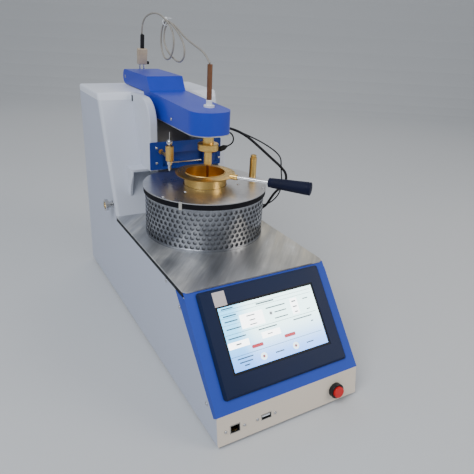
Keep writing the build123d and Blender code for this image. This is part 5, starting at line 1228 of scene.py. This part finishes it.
gripValues = {
    "direction": -50,              # degrees from +X
    "start": 0.1075, "end": 0.1765,
    "neck": 0.0075, "radius": 0.0105,
    "height": 0.2721,
    "rows": 150, "columns": 180,
    "round": 0.0022,               # length of the rounding at each end
    "turns": 30, "ridges": 18, "slope": 6, "depth": 0.00035,
    "plain": 0.10, "fade": 0.03,   # shares of the length without knurling, and of its fading in
    "groove": 0.06, "grooveWidth": 0.012, "grooveDepth": 0.0005,
}


def makeGrip(values):
    # a tapering handle: radius grows from the neck to the end, with two sets of crossing ridges
    # sin(a * turns + s * ridges) and sin(a * turns - s * ridges) cut into it
    bearing = math.radians(values["direction"])
    direction = Vector((math.cos(bearing), math.sin(bearing), 0))
    side = Vector((0, 0, 1)).cross(direction)
    length = values["end"] - values["start"]
    rows, columns = values["rows"], values["columns"]
    s = np.linspace(0, 1, rows)[:, None]
    angle = (np.arange(columns) * 2 * math.pi / columns)[None]
    radius = values["neck"] + (values["radius"] - values["neck"]) * s
    ends = np.minimum(s, 1 - s) * length / values["round"]
    radius = radius * np.sqrt(np.clip(1 - np.clip(1 - ends, 0, 1) ** 2, 0, 1)) ** 0.5
    twist = s * values["ridges"] * values["slope"]
    carved = np.maximum(np.sin(angle * values["turns"] + twist), np.sin(angle * values["turns"] - twist))
    plain, fade = values["plain"], values["fade"]
    region = np.clip((s - plain) / fade, 0, 1) * np.clip((1 - plain - s) / fade, 0, 1)
    ring = 0
    for place in (values["groove"], 1 - values["groove"]):
        ring = ring + np.exp(-(((s - place) / values["grooveWidth"]) ** 2))
    knurl = values["depth"] * region * (1 - carved) * 0.5
    radius = radius - knurl - values["grooveDepth"] * ring * (ends > 1)
    middle = np.array((*shroudValues["centre"], values["height"]))
    centre = middle + np.asarray(direction) * (values["start"] + s * length)
    out = np.cos(angle)[..., None] * np.asarray(side) + np.sin(angle)[..., None] * np.array((0, 0, 1.0))
    points = (centre[:, None] + radius[..., None] * out).reshape(-1, 3)
    faces = gridFaces(rows, columns, wrapColumns=True)
    addPiece(
        "knurledGrip", points, faces, "cup", "navy_grip", finishes["gripNavy"], ("cup_grip",),
        merge=poleWeld,
    )


makeGrip(gripValues)


def blocks(boxes, edge):
    # several rounded boxes: (centre, size, directions) each
    return joined([roundedBox(centre, size, edge, directions) for centre, size, directions in boxes])


stripFrame = np.array([(1, 0, 0), Vector((1, 0, 0)).cross(stripOut) * -1, stripOut])


def inStrip(x, up, out):
    # a point of the front strip: across, up the strip from the sockets' line, and out of it, in mm
    return np.array(onStrip(0, stripValues["sockets"])) + np.array((x, up, out)) @ stripFrame / 1000


# a contact set: middle, how many, their pitch, height and depth in mm, and one contact's size
socketValues = {
    "contacts": [
        (-89.5, 8, 1.02, -3.6, -5.0, (0.00045, 0.0006, 0.007)),
        (-41.8, 4, 2.5, -0.05, -4.5, (0.0010, 0.0003, 0.006)),
    ],
    "tongue": (-41.8, 0.75, -5.0),
    "tongueSize": (0.0122, 0.0016, 0.0095),
    "rims": [(-89.5, 15.0, 12.2), (-41.8, 16.2, 8.8)],    # middle, width and height
    "bar": 0.9, "proud": 0.15, "thick": 0.0004,
    "edge": 0.0001, "tongueEdge": 0.0002,
}


def makeSockets(values):
    contacts = []
    for middle, count, pitch, up, out, size in values["contacts"]:
        for index in range(count):
            x = middle + (index - (count - 1) / 2) * pitch
            contacts.append((inStrip(x, up, out), size, stripFrame))
    brass = finishes["cupBrass"]
    addPiece(
        "socketContacts", *blocks(contacts, values["edge"]), "chassis", "gold_brass", brass,
        merge=pointWeld,
    )
    tongue = roundedBox(inStrip(*values["tongue"]), values["tongueSize"], values["tongueEdge"], stripFrame)
    addPiece("usbTongue", *tongue, "chassis", "white_plastic", finishes["collarWhite"], merge=pointWeld)
    rims = []
    bar, proud, thick = values["bar"], values["proud"], values["thick"]
    for x, wide, high in values["rims"]:
        for up in (-1, 1):
            place = inStrip(x, up * (high - bar) / 2, proud)
            rims.append((place, (wide / 1000, bar / 1000, thick), stripFrame))
        for across in (-1, 1):
            place = inStrip(x + across * (wide - bar) / 2, 0, proud)
            rims.append((place, (bar / 1000, (high - 2 * bar) / 1000, thick), stripFrame))
    steel = finishes["clipSteel"]
    addPiece("socketFrames", *blocks(rims, values["edge"]), "chassis", "steel_bright", steel, merge=pointWeld)


makeSockets(socketValues)


plateValues = {
    "place": (-0.0705, 0.0565, 0.0056),    # on the display's slope
    "size": (0.0185, 0.0200, 0.0003),
    "edge": 0.0001,
}


def makePlate(values):
    plate = roundedBox(onSlope(values["place"]), values["size"], values["edge"], slopeFrame)
    addPiece("blankPlate", *plate, "chassis", "white_plastic", finishes["plateWhite"], merge=pointWeld)


makePlate(plateValues)


tieValues = {
    "place": (0.0055, 0.159, 0.4915),
    "along": (0.02, 0.995, -0.09),         # the bundle's direction there
    "radius": 0.0046, "width": 0.0026, "thick": 0.0010,
    "sides": 40,
    "lift": 0.0018,                        # from the band's inside to the head's middle
    "head": (0.0046, 0.0044, 0.0030), "headEdge": 0.0005,
    "tail": 0.011, "tailThick": 0.0009, "tailEdge": 0.0003,
}


def makeTie(values):
    # a flat band round the bundle: a four-cornered section carried round a circle, with its locking
    # head and a short tail beside it
    along = np.array(values["along"])
    along /= np.linalg.norm(along)
    side = np.cross(along, (0, 0, 1.0))
    side /= np.linalg.norm(side)
    up = np.cross(side, along)
    sides = values["sides"]
    turns = (np.arange(sides) * 2 * math.pi / sides)[:, None, None]
    out = np.cos(turns) * side + np.sin(turns) * up
    section = np.array([(-1, 0), (1, 0), (1, 1), (-1, 1)])
    across, level = section[None, :, :1], section[None, :, 1:]
    place = np.array(values["place"])
    points = place + out * (values["radius"] + level * values["thick"]) + along * across * values["width"] / 2
    band = (points.reshape(-1, 3), gridFaces(sides, 4, True, True)[:, ::-1])
    tieFrame = np.array([side, along, up])
    top = place + up * (values["radius"] + values["lift"])
    head = roundedBox(top, values["head"], values["headEdge"], tieFrame)
    tailSize = (values["tail"], values["width"], values["tailThick"])
    tail = roundedBox(top + side * values["tail"] / 2, tailSize, values["tailEdge"], tieFrame)
    tie = joined([band, head, tail])
    addPiece("cableTie", *tie, "arm", "white_plastic", finishes["collarWhite"], merge=pointWeld)


makeTie(tieValues)


plugValues = {
    "foot": (0.0015, 0.2736, 0.4030),
    "lean": (0, -4.8, 39.0),
    "middle": 0.024,
    "size": (0.0185, 0.0085, 0.0300), "edge": 0.0016,
    "ribs": 5, "ribStart": 0.10, "ribStep": 0.075,    # the last two as shares of the plug's height
    "ribProud": 0.0006, "ribHigh": 0.0009, "ribEdge": 0.0003,
    "prong": (0.0028, 0.0012, 0.0110), "spread": 0.0080, "sunk": 0.001,
    "clamp": (0.0050, 0.0060, 0.0060), "clampEdge": 0.0012,
    "clampOut": 0.0022, "clampUp": 0.0030,
}


def makePlug(values):
    # a flat two-pin plug: a block with rounded edges and grip ribs, two flat prongs into the arm and
    # a clamp on its side
    out = Vector(values["lean"]).normalized()
    plugFrame = np.array([(1, 0, 0), out.cross(Vector((1, 0, 0))), out])
    wide, deep, high = values["size"]

    def inPlug(across, along):
        return np.array(values["foot"]) + np.array((across, 0, values["middle"] + along)) @ plugFrame

    body = [roundedBox(inPlug(0, 0), values["size"], values["edge"], plugFrame)]
    ribSize = (wide + values["ribProud"], deep + values["ribProud"], values["ribHigh"])
    for index in range(values["ribs"]):
        place = inPlug(0, high * (values["ribStart"] + values["ribStep"] * index))
        body.append(roundedBox(place, ribSize, values["ribEdge"], plugFrame))
    beige = finishes["plugBeige"]
    addPiece("plugBody", *joined(body), "arm", "beige_plastic", beige, ("connector_body",), merge=pointWeld)
    level = -high / 2 - values["prong"][2] / 2 + values["sunk"]
    prongs = [(inPlug(side * values["spread"] / 2, level), values["prong"], plugFrame) for side in (-1, 1)]
    steel = finishes["clipSteel"]
    addPiece("plugPins", *blocks(prongs, values["ribEdge"]), "arm", "steel_bright", steel, merge=pointWeld)
    place = inPlug(wide / 2 + values["clampOut"], -high / 2 + values["clampUp"])
    clamp = roundedBox(place, values["clamp"], values["clampEdge"], plugFrame)
    addPiece("plugClamp", *clamp, "arm", "black_rubber", finishes["blackRubber"], merge=pointWeld)


makePlug(plugValues)


knobValues = {
    "middle": (-0.115, 0.117, 0.191),
    "sides": 48,
    # both profiles run outwards along -X, as (radius, distance)
    "ring": [
        (0.0, -0.0100), (0.0030, -0.0100), (0.0030, 0.0016), (0.0055, 0.0017), (0.0055, 0.0088),
        (0.0100, 0.0092), (0.0104, 0.0097), (0.0104, 0.0144), (0.0099, 0.0149), (0.0074, 0.0149),
        (0.0069, 0.0144), (0.0069, 0.0128), (0.0, 0.0128),
    ],
    "core": [
        (0.0, 0.0129), (0.0052, 0.0129), (0.0052, 0.0138), (0.0046, 0.0143), (0.0022, 0.0143),
        (0.0018, 0.0134), (0.0, 0.0134),
    ],
}


def makeKnob(values):
    # a turned ring knob on its stem, with a brass core
    for name, profile, finish, slot, replaced in (
        ("ringKnob", values["ring"], "brightSteel", "steel_bright", ("gas_knob",)),
        ("knobCore", values["core"], "cupBrass", "gold_brass", ()),
    ):
        addPiece(
            name, *turned(profile, values["middle"], (-1, 0, 0), values["sides"]), "gas_knob", slot,
            finishes[finish], replaced, smooth=False, merge=pointWeld,
        )


makeKnob(knobValues)


slotValues = {
    "place": (-0.0562, 0.166, 0.3655),
    "size": (0.0006, 0.0056, 0.0105),
    "edge": 0.0002,
}


def makeSlot(values):
    # the slot in the left cheek, as a thin dark block on its face
    mark = roundedBox(values["place"], values["size"], values["edge"], np.eye(3))
    addPiece("cheekSlot", *mark, "chassis", "black_rubber", finishes["blackRubber"], merge=pointWeld)


makeSlot(slotValues)
print("small parts made")


studioValues = {
    "floor": (0.60, 0.61, 0.62),
    "world": (0.78, 0.82, 0.88),
    "worldStrength": 0.55,
    # the floor: its front, where it starts to rise, the bend's radius, its top and half its width
    "front": -4, "flat": 2.2, "bend": 1.4, "top": 4.0, "side": 5,
    "flatSteps": 24, "bendSteps": 14, "columns": 12,
    "lights": [
        # name, place, target, size, power, colour
        ("keyLight", (-1.3, -0.8, 2.0), (0, 0, 0.25), 1.4, 36.0, (0.91, 0.95, 1.0)),
        ("fillLight", (1.4, -1.5, 1.2), (0, 0, 0.2), 1.2, 17.0, (1.0, 0.94, 0.85)),
        ("rimLight", (0.9, 1.7, 1.9), (0, 0, 0.3), 2.0, 8.0, (1.0, 0.98, 0.94)),
    ],
}


def makeStudio(values):
    # the floor runs flat and then curves up behind as a quarter of a circle
    flat, bend = values["flat"], values["bend"]
    along = np.linspace(values["front"], flat, values["flatSteps"])
    turn = np.linspace(0.1, math.pi / 2, values["bendSteps"])
    run = np.concatenate([along, flat + bend * np.sin(turn), [flat + bend]])
    rise = np.concatenate([np.zeros(len(along)), bend - bend * np.cos(turn), [values["top"]]])
    columns = values["columns"]
    x = np.linspace(-values["side"], values["side"], columns)
    shape = (len(run), columns)
    across = np.broadcast_to(x[None], shape)
    back = np.broadcast_to(run[:, None], shape)
    up = np.broadcast_to(rise[:, None], shape)
    grid = np.stack([across, back, up], axis=-1).reshape(-1, 3)
    mesh = bpy.data.meshes.new("studioFloor")
    mesh.from_pydata(grid.tolist(), [], gridFaces(len(run), columns).tolist())
    floor = bpy.data.objects.new("studioFloor", mesh)
    bpy.context.scene.collection.objects.link(floor)
    floor.rotation_euler = (0, 0, -math.radians(cameraValues["yaw"]))
    material, tree, shader = startMaterial("floorPaper")
    grain = grainOn(tree, 60.0, 1.5)
    paper = mixColour(tree, grain.outputs["Tone"], shade(values["floor"], 0.97), shade(values["floor"], 1.03))
    link(tree, paper, shader.inputs["Base Color"])
    shader.inputs["Roughness"].default_value = 0.75
    mesh.materials.append(material)
    for name, place, target, size, power, colour in values["lights"]:
        data = bpy.data.lights.new(name, "AREA")
        data.shape = "DISK"
        data.size = size
        data.energy = power
        data.color = colour
        lamp = bpy.data.objects.new(name, data)
        bpy.context.scene.collection.objects.link(lamp)
        lamp.location = place
        lamp.rotation_euler = (Vector(target) - Vector(place)).to_track_quat("-Z", "Y").to_euler()
    world = bpy.data.worlds.new("studioWorld")
    world.use_nodes = True
    background = world.node_tree.nodes["Background"]
    background.inputs["Color"].default_value = (*values["world"], 1)
    background.inputs["Strength"].default_value = values["worldStrength"]
    bpy.context.scene.world = world


makeStudio(studioValues)
print("studio lit")
